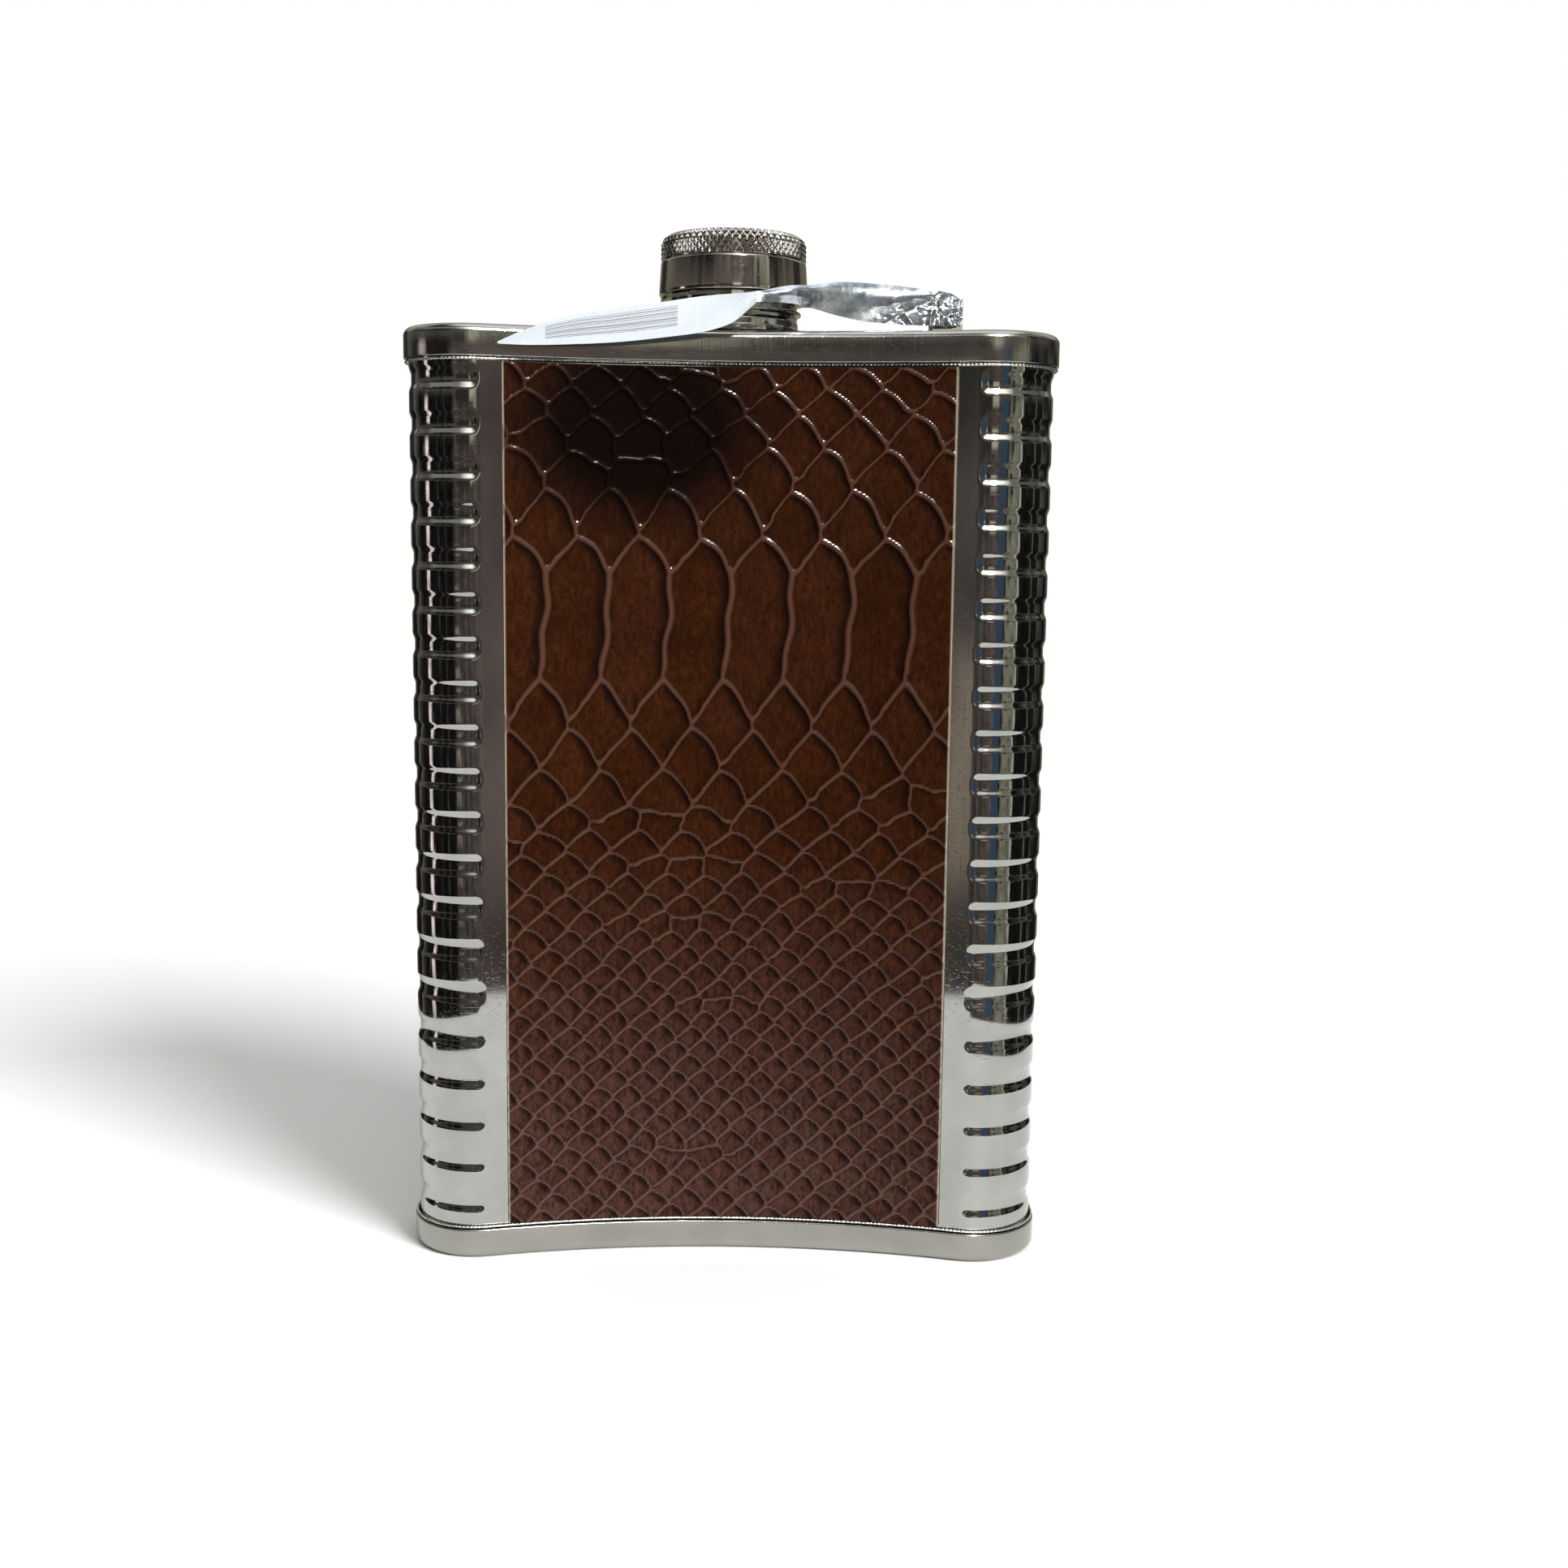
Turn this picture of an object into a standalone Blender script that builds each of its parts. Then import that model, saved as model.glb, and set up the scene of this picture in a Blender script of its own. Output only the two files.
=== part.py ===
"""Kidney-section hip flask with a captive screw cap: steel body, leather panels, hinged cap arm."""
import math

import bmesh
import bpy
from mathutils import Vector

MM = 0.001
GAP = 0.3 * MM                      # clearance between touching pieces
SEAM_GAP = 0.15 * MM                # clearance round glue, leather and weld beads

# Kidney section: a concave front, a convex back and round ends
WIDTH = 95.0 * MM
END_RADIUS = 10.0 * MM
FRONT_RADIUS = 135.0 * MM
BACK_RADIUS = 155.0 * MM
HORN_Y = -13.8 * MM                 # foremost line of the two round ends
BACK_Y = 13.6 * MM                  # rearmost line of the convex back

# Heights from the resting face
SEAM_Z = 4.4 * MM                   # upper edge of the base cover
COLLAR_Z = 132.0 * MM               # lower edge of the top cover
SHOULDER_Z = 136.5 * MM
SHEET = 0.4 * MM                    # thickness of the covers
BODY_INSET = 0.7 * MM               # how far the body lies inside the covers' outline
BODY_WALL = 0.8 * MM
BODY_TOP = 135.2 * MM
BODY_BOTTOM = 1.4 * MM
COVER_EDGE = 1.2 * MM               # rounding of the covers' edges

# Grooves pressed round the narrow sides
RIB_COUNT = 20
RIB_PITCH = 6.35 * MM
RIB_HEIGHT = 3.2 * MM
RIB_DEPTH = 0.35 * MM
RIB_RAMP = 0.45 * MM
RIB_FIRST_LOW = 127.6 * MM
RIB_END_X = 35.0 * MM

# Leather panels
PANEL_HALF_WIDTH = 32.0 * MM
PANEL_PROUD = 0.2 * MM
GLUE = 0.1 * MM
BEAD_RADIUS = 0.22 * MM

# Neck, cap and their screw thread, all on one vertical axis
CAP_Y = 2.4 * MM
NECK_TOP = 147.7 * MM
NECK_BORE = 6.9 * MM
NECK_RADIUS = 7.5 * MM
NECK_FLANGE = 9.5 * MM
COLLAR_RADIUS = 9.85 * MM
COLLAR_TOP = 138.7 * MM
THREAD_PITCH = 1.25 * MM
THREAD_CREST = 8.05 * MM
THREAD_LOW = 143.2 * MM             # start of the neck's ridge
THREAD_TURNS = 2.0
THREAD_TIP = 0.2 * MM
LINER_THREAD_LOW = THREAD_LOW + 1.5 * THREAD_PITCH
LINER_THREAD_TURNS = 1.75
LINER_CREST = 7.72 * MM
LINER_BORE = 8.25 * MM
LINER_RADIUS = 8.75 * MM
LINER_LIP = 9.45 * MM
LINER_BOTTOM = 139.0 * MM
LINER_TOP = 149.0 * MM
GASKET_THICKNESS = 1.0 * MM
CAP_BOTTOM = 142.3 * MM
CAP_BAND_TOP = 147.2 * MM
CAP_TOP = 151.3 * MM
CAP_FOOT_RADIUS = 10.95 * MM
CAP_RADIUS = 10.7 * MM
CAP_CEILING = 149.3 * MM
ROUND_STEPS = 40

# Arm ring, sleeve that hangs in it, and the hinge on the shoulder
RING_TOP = CAP_BOTTOM - GAP
RING_THICKNESS = 0.5 * MM
RING_BORE = 9.65 * MM
RING_RADIUS = 10.75 * MM
SLEEVE_BORE = LINER_RADIUS + GAP
SLEEVE_RADIUS = 9.4 * MM
SLEEVE_FLANGE = 10.0 * MM
SLEEVE_BOTTOM = 139.7 * MM
STRIP = 0.6 * MM
ARM_WIDTH = 6.0 * MM
ARM_TOP = 142.6 * MM
ARM_CROWN = 143.3 * MM
ARM_CROWN_X = 17.5 * MM
ELBOW_RADIUS = 1.1 * MM
ARM_END_X = 33.7 * MM
PIN_X = 31.7 * MM
PIN_Z = 140.0 * MM
PIN_RADIUS = 1.0 * MM
EYE_RADIUS = ARM_END_X - PIN_X
CHEEK = 0.8 * MM
BRACKET_FLOOR = 0.5 * MM

# Label hanging in front of the neck
TAG_THICKNESS = 0.3 * MM
TAIL_THICKNESS = 0.4 * MM


# ------------------------------------------------------------------ scene helpers

def clear_scene():
    for item in list(bpy.data.objects):
        bpy.data.objects.remove(item, do_unlink=True)


def new_collection(name):
    collection = bpy.data.collections.new(name)
    bpy.context.scene.collection.children.link(collection)
    return collection


def material(name, colour, roughness, metallic):
    mat = bpy.data.materials.new(name)
    mat.use_nodes = True
    shader = mat.node_tree.nodes["Principled BSDF"]
    shader.inputs["Base Color"].default_value = (*colour, 1.0)
    shader.inputs["Roughness"].default_value = roughness
    shader.inputs["Metallic"].default_value = metallic
    mat.diffuse_color = (*colour, 1.0)
    return mat


def add_object(name, data, collection, mat=None):
    item = bpy.data.objects.new(name, data)
    collection.objects.link(item)
    if mat:
        data.materials.append(mat)
    return item


def mesh_from(bm, name, smooth_angle=None):
    bmesh.ops.recalc_face_normals(bm, faces=bm.faces)
    mesh = bpy.data.meshes.new(name)
    bm.to_mesh(mesh)
    bm.free()
    if smooth_angle is not None:
        mesh.shade_smooth()
        mesh.set_sharp_from_angle(angle=smooth_angle)
    return mesh


def boolean(item, other, operation):
    modifier = item.modifiers.new(other.name, 'BOOLEAN')
    modifier.object = other
    modifier.operation = operation
    modifier.solver = 'EXACT'


def cutter(name, mesh, collection):
    item = add_object(name, mesh, collection)
    item.hide_render = True
    item.display_type = 'WIRE'
    return item


# ------------------------------------------------------------------ kidney outline

def front_centre_y():
    reach = FRONT_RADIUS + END_RADIUS
    return HORN_Y + END_RADIUS - math.sqrt(reach ** 2 - (WIDTH / 2 - END_RADIUS) ** 2)


def back_centre_y():
    return BACK_Y - BACK_RADIUS


def arc(centre, radius, start, end, steps):
    """Points on an arc without its last one; angles in degrees from +X."""
    points = []
    for i in range(steps):
        angle = math.radians(start + (end - start) * i / steps)
        points.append((centre[0] + radius * math.cos(angle), centre[1] + radius * math.sin(angle)))
    return points


def half_outline(offset):
    """Right half of the section, front centre to back centre, as (x, y, kind).

    Kind 0 is a plain face, 1 the edge of the grooved zone and 2 inside the grooved zone.
    """
    end_x = WIDTH / 2 - END_RADIUS
    front_tilt = math.degrees(math.asin(end_x / (FRONT_RADIUS + END_RADIUS)))
    back_tilt = math.degrees(math.asin(end_x / (BACK_RADIUS - END_RADIUS)))
    front = (0.0, front_centre_y())
    back = (0.0, back_centre_y())
    front_end = (end_x, HORN_Y + END_RADIUS)
    back_end = (end_x, back[1] + math.sqrt((BACK_RADIUS - END_RADIUS) ** 2 - end_x ** 2))
    radius = END_RADIUS + offset
    back_radius = BACK_RADIUS + offset
    rib_start = 270 - math.degrees(math.asin((end_x - RIB_END_X) / radius))
    rib_stop = math.degrees(math.acos(RIB_END_X / back_radius))
    ramp = math.degrees(RIB_RAMP / radius)
    back_ramp = math.degrees(RIB_RAMP / BACK_RADIUS)

    front_face = arc(front, FRONT_RADIUS - offset, 90, 90 - front_tilt, 6)
    front_face += arc(front_end, radius, 270 - front_tilt, rib_start, 1)
    front_edge = arc(front_end, radius, rib_start, rib_start + ramp, 1)
    side = arc(front_end, radius, rib_start + ramp, 360, 5)
    side += arc(back_end, radius, 0, 90 - back_tilt, 4)
    side += arc(back, back_radius, 90 - back_tilt, rib_stop - back_ramp, 1)
    side += arc(back, back_radius, rib_stop - back_ramp, rib_stop, 1)
    back_face = arc(back, back_radius, rib_stop, 90, 6)
    back_edge = back_face.pop(0)
    back_face.append((0.0, BACK_Y + offset))

    points = [(x, y, 0) for x, y in front_face]
    points += [(x, y, 1) for x, y in front_edge]
    points += [(x, y, 2) for x, y in side]
    points.append((*back_edge, 1))
    points += [(x, y, 0) for x, y in back_face]
    return points


def outline(offset):
    """Whole section, counter-clockwise from the front centre, moved outwards by offset."""
    right = half_outline(offset)
    left = [(-x, y, kind) for x, y, kind in reversed(right[1:-1])]
    return right + left


def ring_of(bm, offset, z):
    return [bm.verts.new((x, y, z)) for x, y, _ in outline(offset)]


def bridge(bm, lower, upper):
    count = len(lower)
    for i in range(count):
        j = (i + 1) % count
        bm.faces.new((lower[i], lower[j], upper[j], upper[i]))


def cup(name, rings_outside, rings_inside, collection, mat):
    """Pressed cover: outer rings and inner rings run from the open rim to the closed plate."""
    bm = bmesh.new()
    outside = [ring_of(bm, offset, z) for offset, z in rings_outside]
    inside = [ring_of(bm, offset, z) for offset, z in rings_inside]
    for rings in (outside, inside):
        for lower, upper in zip(rings, rings[1:]):
            bridge(bm, lower, upper)
        bm.faces.new(rings[-1])
    bridge(bm, outside[0], inside[0])
    return add_object(name, mesh_from(bm, name, math.radians(40)), collection, mat)


# ------------------------------------------------------------------ turned shapes and threads

def turned(name, profile, collection, mat, steps=ROUND_STEPS, y=CAP_Y):
    """Turns (radius, height) points, listed down the outer side, about the cap's axis."""
    mesh = bpy.data.meshes.new(name)
    edges = [(i, i + 1) for i in range(len(profile) - 1)]
    mesh.from_pydata([(r, 0.0, z) for r, z in profile], edges, [])
    item = add_object(name, mesh, collection, mat)
    item.location = (0.0, y, 0.0)
    screw = item.modifiers.new("turn", 'SCREW')
    screw.axis = 'Z'
    screw.steps = steps
    screw.render_steps = steps
    screw.use_merge_vertices = True
    screw.merge_threshold = 0.00001
    screw.use_smooth_shade = False
    return item


def turned_ring(name, profile, collection, mat, steps=ROUND_STEPS):
    """A closed profile of (radius, height) points, turned into a ring."""
    return turned(name, profile + profile[:1], collection, mat, steps)


def thread_mesh(name, root, crest, low, turns, base_width):
    """Helical ridge from radius root to radius crest, with tapered ends."""
    steps_per_turn = 24
    steps = round(turns * steps_per_turn)
    fade = 4
    bm = bmesh.new()
    sections = []
    for i in range(steps + 1):
        angle = 2 * math.pi * i / steps_per_turn
        grow = min(1.0, 0.35 + 0.65 * min(i, steps - i) / fade)
        top = root + (crest - root) * grow
        z = low + THREAD_PITCH * i / steps_per_turn
        profile = [(root, -base_width / 2), (top, -THREAD_TIP / 2),
                   (top, THREAD_TIP / 2), (root, base_width / 2)]
        sections.append([bm.verts.new((r * math.cos(angle), r * math.sin(angle) + CAP_Y, z + dz))
                         for r, dz in profile])
    for one, two in zip(sections, sections[1:]):
        bridge(bm, one, two)
    bm.faces.new(sections[0])
    bm.faces.new(sections[-1])
    return mesh_from(bm, name)


# ------------------------------------------------------------------ body

def body_levels():
    """Heights and depth shares of the groove edges, from the bottom up."""
    levels = []
    for i in reversed(range(RIB_COUNT)):
        low = RIB_FIRST_LOW - i * RIB_PITCH
        high = low + RIB_HEIGHT
        levels += [(low, 0), (low + RIB_RAMP, 1), (high - RIB_RAMP, 1), (high, 0)]
    return levels


def make_body_shell(parts, mat):
    bm = bmesh.new()
    skin = outline(-BODY_INSET)
    groove = outline(-BODY_INSET - RIB_DEPTH)
    lining = outline(-BODY_INSET - BODY_WALL)
    columns = []
    for (x, y, kind), (gx, gy, _) in zip(skin, groove):
        column = [bm.verts.new((x, y, BODY_BOTTOM))]
        if kind:
            for z, depth in body_levels():
                sunk = kind == 2 and depth
                column.append(bm.verts.new((gx, gy, z) if sunk else (x, y, z)))
        column.append(bm.verts.new((x, y, BODY_TOP)))
        columns.append(column)
    count = len(columns)
    for i in range(count):
        one, two = columns[i], columns[(i + 1) % count]
        if len(one) == len(two):
            for a in range(len(one) - 1):
                bm.faces.new((one[a], two[a], two[a + 1], one[a + 1]))
        else:
            bm.faces.new(one + two[::-1])
    inner = [(bm.verts.new((x, y, BODY_BOTTOM)), bm.verts.new((x, y, BODY_TOP))) for x, y, _ in lining]
    for i in range(count):
        j = (i + 1) % count
        bm.faces.new((inner[i][0], inner[j][0], inner[j][1], inner[i][1]))
        bm.faces.new((columns[i][0], columns[j][0], inner[j][0], inner[i][0]))
        bm.faces.new((columns[i][-1], columns[j][-1], inner[j][1], inner[i][1]))
    return add_object("body_shell", mesh_from(bm, "body_shell", math.radians(30)), parts, mat)


def make_top_cover(parts, cutters, mat):
    corner = COVER_EDGE * (1 - math.sqrt(0.5))
    outside = [(0, COLLAR_Z), (0, SHOULDER_Z - COVER_EDGE), (-corner, SHOULDER_Z - corner),
               (-COVER_EDGE, SHOULDER_Z)]
    inside = [(-SHEET, COLLAR_Z), (-SHEET, SHOULDER_Z - COVER_EDGE),
              (-SHEET - corner, SHOULDER_Z - SHEET - corner), (-SHEET - COVER_EDGE, SHOULDER_Z - SHEET)]
    cover = cup("top_cover", outside, inside, parts, mat)
    bm = bmesh.new()
    bmesh.ops.create_cone(bm, cap_ends=True, segments=ROUND_STEPS, radius1=NECK_RADIUS + GAP,
                          radius2=NECK_RADIUS + GAP, depth=6 * MM)
    hole = cutter("neck_hole", mesh_from(bm, "neck_hole"), cutters)
    hole.location = (0, CAP_Y, SHOULDER_Z)
    boolean(cover, hole, 'DIFFERENCE')
    return cover


def make_base_cover(parts, mat):
    corner = COVER_EDGE * (1 - math.sqrt(0.5))
    outside = [(0, SEAM_Z), (0, COVER_EDGE), (-corner, corner), (-COVER_EDGE, 0)]
    inside = [(-SHEET, SEAM_Z), (-SHEET, COVER_EDGE), (-SHEET - corner, SHEET + corner),
              (-SHEET - COVER_EDGE, SHEET)]
    return cup("base_cover", outside, inside, parts, mat)


def make_weld_bead(name, z, parts, mat):
    """Fine bead laid round the body where a cover's skirt ends."""
    offset = -BODY_INSET + SEAM_GAP + BEAD_RADIUS
    path = bpy.data.curves.new(name, 'CURVE')
    path.dimensions = '3D'
    path.bevel_depth = BEAD_RADIUS
    path.bevel_resolution = 1
    spline = path.splines.new('POLY')
    points = outline(offset)
    spline.points.add(len(points) - 1)
    for point, (x, y, _) in zip(spline.points, points):
        point.co = (x, y, z, 1.0)
    spline.use_cyclic_u = True
    return add_object(name, path, parts, mat)


def make_panel(name, side, inner, outer, low, high, parts, mat):
    """Sheet bent to the front (side -1) or back (side 1) face, between two offsets of the outline."""
    centre = (0.0, front_centre_y()) if side < 0 else (0.0, back_centre_y())
    radius = FRONT_RADIUS if side < 0 else BACK_RADIUS
    near, far = radius + side * inner, radius + side * outer
    swing = math.degrees(math.asin(PANEL_HALF_WIDTH / radius))
    steps = 12
    loop = arc(centre, near, 90 - swing, 90 + swing, steps) + arc(centre, near, 90 + swing, 90, 1)
    loop += arc(centre, far, 90 + swing, 90 - swing, steps) + arc(centre, far, 90 - swing, 90, 1)
    sheet = bpy.data.curves.new(name, 'CURVE')
    sheet.dimensions = '2D'
    sheet.fill_mode = 'BOTH'
    sheet.extrude = (high - low) / 2
    spline = sheet.splines.new('POLY')
    spline.points.add(len(loop) - 1)
    for point, (x, y) in zip(spline.points, loop):
        point.co = (x, y, 0.0, 1.0)
    spline.use_cyclic_u = True
    item = add_object(name, sheet, parts, mat)
    item.location = (0, 0, (low + high) / 2)
    return item


def make_panels(parts, leather, glue):
    low = SEAM_Z + 2 * BEAD_RADIUS + 2 * SEAM_GAP
    high = COLLAR_Z - 2 * BEAD_RADIUS - 2 * SEAM_GAP
    glue_inner = -BODY_INSET + SEAM_GAP
    glue_outer = glue_inner + GLUE
    for label, side in (("front", -1), ("back", 1)):
        make_panel("adhesive_" + label, side, glue_inner, glue_outer, low + MM, high - MM, parts, glue)
        make_panel("leather_" + label, side, glue_outer + SEAM_GAP, PANEL_PROUD, low, high, parts, leather)


# ------------------------------------------------------------------ neck and cap

def make_neck(parts, cutters, mat):
    flange_top = SHOULDER_Z - SHEET - GAP
    flange_low = flange_top - 0.6 * MM
    lip = 0.2 * MM
    neck = turned_ring("neck_spout", [
        (NECK_BORE + lip, NECK_TOP), (NECK_RADIUS - lip, NECK_TOP), (NECK_RADIUS, NECK_TOP - lip),
        (NECK_RADIUS, flange_top), (NECK_FLANGE, flange_top), (NECK_FLANGE, flange_low),
        (NECK_BORE, flange_low), (NECK_BORE, NECK_TOP - lip)], parts, mat)
    ridge = thread_mesh("neck_thread", NECK_RADIUS - 0.1 * MM, THREAD_CREST, THREAD_LOW,
                        THREAD_TURNS, 0.8 * MM)
    boolean(neck, cutter("neck_thread", ridge, cutters), 'UNION')
    return neck


def make_neck_collar(parts, mat):
    bore = NECK_RADIUS + GAP
    foot = SHOULDER_Z + GAP
    step = foot + 0.8 * MM
    narrow = COLLAR_RADIUS - 0.3 * MM
    bevel = 0.2 * MM
    return turned_ring("neck_collar", [
        (bore, COLLAR_TOP), (narrow - bevel, COLLAR_TOP), (narrow, COLLAR_TOP - bevel),
        (narrow, step + bevel), (COLLAR_RADIUS, step), (COLLAR_RADIUS, foot), (bore, foot)], parts, mat)


def make_cap_shell(parts, mat):
    bore = LINER_RADIUS + GAP
    return turned("cap_shell", [
        (0, CAP_TOP), (CAP_RADIUS * 0.6, CAP_TOP - 0.2 * MM), (CAP_RADIUS - 1.4 * MM, CAP_TOP - 0.5 * MM),
        (CAP_RADIUS - 0.5 * MM, CAP_TOP - 1.0 * MM), (CAP_RADIUS, CAP_TOP - 1.9 * MM),
        (CAP_RADIUS, CAP_BAND_TOP + 0.15 * MM), (CAP_RADIUS - 0.2 * MM, CAP_BAND_TOP),
        (CAP_RADIUS, CAP_BAND_TOP - 0.15 * MM), (CAP_FOOT_RADIUS, CAP_BOTTOM + 0.2 * MM),
        (CAP_FOOT_RADIUS - 0.2 * MM, CAP_BOTTOM), (bore, CAP_BOTTOM), (bore, CAP_CEILING),
        (0, CAP_CEILING)], parts, mat)


def make_cap_liner(parts, cutters, mat):
    lip_top = LINER_BOTTOM + 0.4 * MM
    liner = turned_ring("cap_thread_liner", [
        (LINER_BORE, LINER_TOP), (LINER_RADIUS, LINER_TOP), (LINER_RADIUS, lip_top), (LINER_LIP, lip_top),
        (LINER_LIP, LINER_BOTTOM), (LINER_BORE, LINER_BOTTOM)], parts, mat)
    ridge = thread_mesh("liner_thread", LINER_BORE + 0.1 * MM, LINER_CREST, LINER_THREAD_LOW,
                        LINER_THREAD_TURNS, 0.75 * MM)
    boolean(liner, cutter("liner_thread", ridge, cutters), 'UNION')
    return liner


def make_gasket(parts, mat):
    low = NECK_TOP + GAP
    radius = LINER_BORE - GAP
    return turned("cap_gasket", [(0, low + GASKET_THICKNESS), (radius, low + GASKET_THICKNESS),
                                 (radius, low), (0, low)], parts, mat)


def make_retainer(parts, mat):
    flange_top = SLEEVE_BOTTOM + 0.4 * MM
    return turned_ring("cap_retainer", [
        (SLEEVE_BORE, RING_TOP), (SLEEVE_RADIUS, RING_TOP), (SLEEVE_RADIUS, flange_top),
        (SLEEVE_FLANGE, flange_top), (SLEEVE_FLANGE, SLEEVE_BOTTOM), (SLEEVE_BORE, SLEEVE_BOTTOM)],
        parts, mat)


# ------------------------------------------------------------------ hinge

def arm_centreline():
    """(x, z) points from the ring, over the arch and the elbow, down and round the pin."""
    ring_z = RING_TOP - RING_THICKNESS / 2
    top = ARM_TOP - STRIP / 2
    crown = ARM_CROWN - STRIP / 2
    start_x = RING_RADIUS + 1.0 * MM
    elbow_x = ARM_END_X - STRIP / 2 - ELBOW_RADIUS
    points = [(RING_RADIUS - 0.6 * MM, ring_z), (start_x, ring_z)]
    points += ease((start_x, ring_z), (ARM_CROWN_X, crown), 4)
    points += ease((ARM_CROWN_X, crown), (elbow_x, top), 4)
    points += arc((elbow_x, top - ELBOW_RADIUS), ELBOW_RADIUS, 90, 0, 4)[1:]
    points += arc((PIN_X, PIN_Z), EYE_RADIUS - STRIP / 2, 0, -225, 12)
    return points


def ease(start, end, steps):
    """Points after start up to end, level at both ends."""
    points = []
    for i in range(1, steps + 1):
        t = i / steps
        rise = (1 - math.cos(math.pi * t)) / 2
        points.append((start[0] + (end[0] - start[0]) * t, start[1] + (end[1] - start[1]) * rise))
    return points


def strip_outline(points, thickness):
    """Closed outline of a strip of even thickness along a line of (x, z) points."""
    left, right = [], []
    for i, point in enumerate(points):
        before = Vector(points[max(i - 1, 0)])
        after = Vector(points[min(i + 1, len(points) - 1)])
        along = (after - before).normalized()
        across = Vector((-along.y, along.x)) * thickness / 2
        left.append(Vector(point) + across)
        right.append(Vector(point) - across)
    return left + right[::-1]


def make_arm(parts, cutters, mat):
    bm = bmesh.new()
    loop = strip_outline(arm_centreline(), STRIP)
    front = [bm.verts.new((x, CAP_Y - ARM_WIDTH / 2, z)) for x, z in loop]
    rear = [bm.verts.new((x, CAP_Y + ARM_WIDTH / 2, z)) for x, z in loop]
    bridge(bm, front, rear)
    bm.faces.new(front)
    bm.faces.new(rear)
    arm = add_object("hinge_arm", mesh_from(bm, "hinge_arm"), parts, mat)
    low = RING_TOP - RING_THICKNESS
    ring = turned_ring("arm_ring", [(RING_BORE, RING_TOP), (RING_RADIUS, RING_TOP), (RING_RADIUS, low),
                                    (RING_BORE, low)], cutters, None)
    ring.hide_render = True
    ring.display_type = 'WIRE'
    boolean(arm, ring, 'UNION')
    return arm


def box_mesh(name, low, high):
    bm = bmesh.new()
    bmesh.ops.create_cube(bm, size=1.0)
    size = Vector(high) - Vector(low)
    centre = (Vector(high) + Vector(low)) / 2
    for vert in bm.verts:
        vert.co = Vector([c * s for c, s in zip(vert.co, size)]) + centre
    return mesh_from(bm, name)


def pin_mesh(name, radius, low_y, high_y, steps=24):
    bm = bmesh.new()
    bmesh.ops.create_cone(bm, cap_ends=True, segments=steps, radius1=radius, radius2=radius,
                          depth=high_y - low_y)
    mesh = mesh_from(bm, name)
    for vert in mesh.vertices:
        x, y, z = vert.co
        vert.co = (x + PIN_X, z + (low_y + high_y) / 2, -y + PIN_Z)
    return mesh


def make_bracket(parts, cutters, mat):
    """U bracket: a block with a channel for the eye and a hole for the pin."""
    inner = ARM_WIDTH / 2 + GAP
    outer = inner + CHEEK
    low = SHOULDER_Z + SEAM_GAP
    floor = low + BRACKET_FLOOR
    back_x, front_x = PIN_X - 2.4 * MM, PIN_X + 1.9 * MM
    block = box_mesh("hinge_bracket", (back_x, CAP_Y - outer, low), (front_x, CAP_Y + outer, PIN_Z + 2 * MM))
    bracket = add_object("hinge_bracket", block, parts, mat)
    slot = box_mesh("bracket_channel", (back_x - MM, CAP_Y - inner, floor),
                    (front_x + MM, CAP_Y + inner, PIN_Z + 4 * MM))
    channel = cutter("bracket_channel", slot, cutters)
    bore = pin_mesh("bracket_hole", PIN_RADIUS + 0.2 * MM, CAP_Y - 8 * MM, CAP_Y + 8 * MM)
    hole = cutter("bracket_hole", bore, cutters)
    boolean(bracket, channel, 'DIFFERENCE')
    boolean(bracket, hole, 'DIFFERENCE')
    return bracket


def make_pin(parts, cutters, mat):
    reach = ARM_WIDTH / 2 + GAP + CHEEK + GAP
    head = 0.5 * MM
    shank = pin_mesh("hinge_pin", PIN_RADIUS, CAP_Y - reach - head, CAP_Y + reach + head)
    pin = add_object("hinge_pin", shank, parts, mat)
    for label, low in (("front", CAP_Y - reach - head), ("rear", CAP_Y + reach)):
        disc = pin_mesh("pin_head_" + label, PIN_RADIUS + 0.4 * MM, low, low + head)
        boolean(pin, cutter("pin_head_" + label, disc, cutters), 'UNION')
    return pin


# ------------------------------------------------------------------ label

def sheet_from(name, stations, rows, thickness, parts, mat):
    """Curved sheet: each station is (x, y, low z, lean of the top, high z); Solidify gives thickness."""
    bm = bmesh.new()
    grid = []
    for x, y, low, lean, high in stations:
        column = []
        for j in range(rows + 1):
            t = j / rows
            column.append(bm.verts.new((x * MM, (y + lean * t) * MM, (low + (high - low) * t) * MM)))
        grid.append(column)
    for one, two in zip(grid, grid[1:]):
        for j in range(rows):
            bm.faces.new((one[j], two[j], two[j + 1], one[j + 1]))
    mesh = mesh_from(bm, name)
    mesh.shade_smooth()
    item = add_object(name, mesh, parts, mat)
    solid = item.modifiers.new("thickness", 'SOLIDIFY')
    solid.thickness = thickness
    solid.offset = 0
    return item


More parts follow.
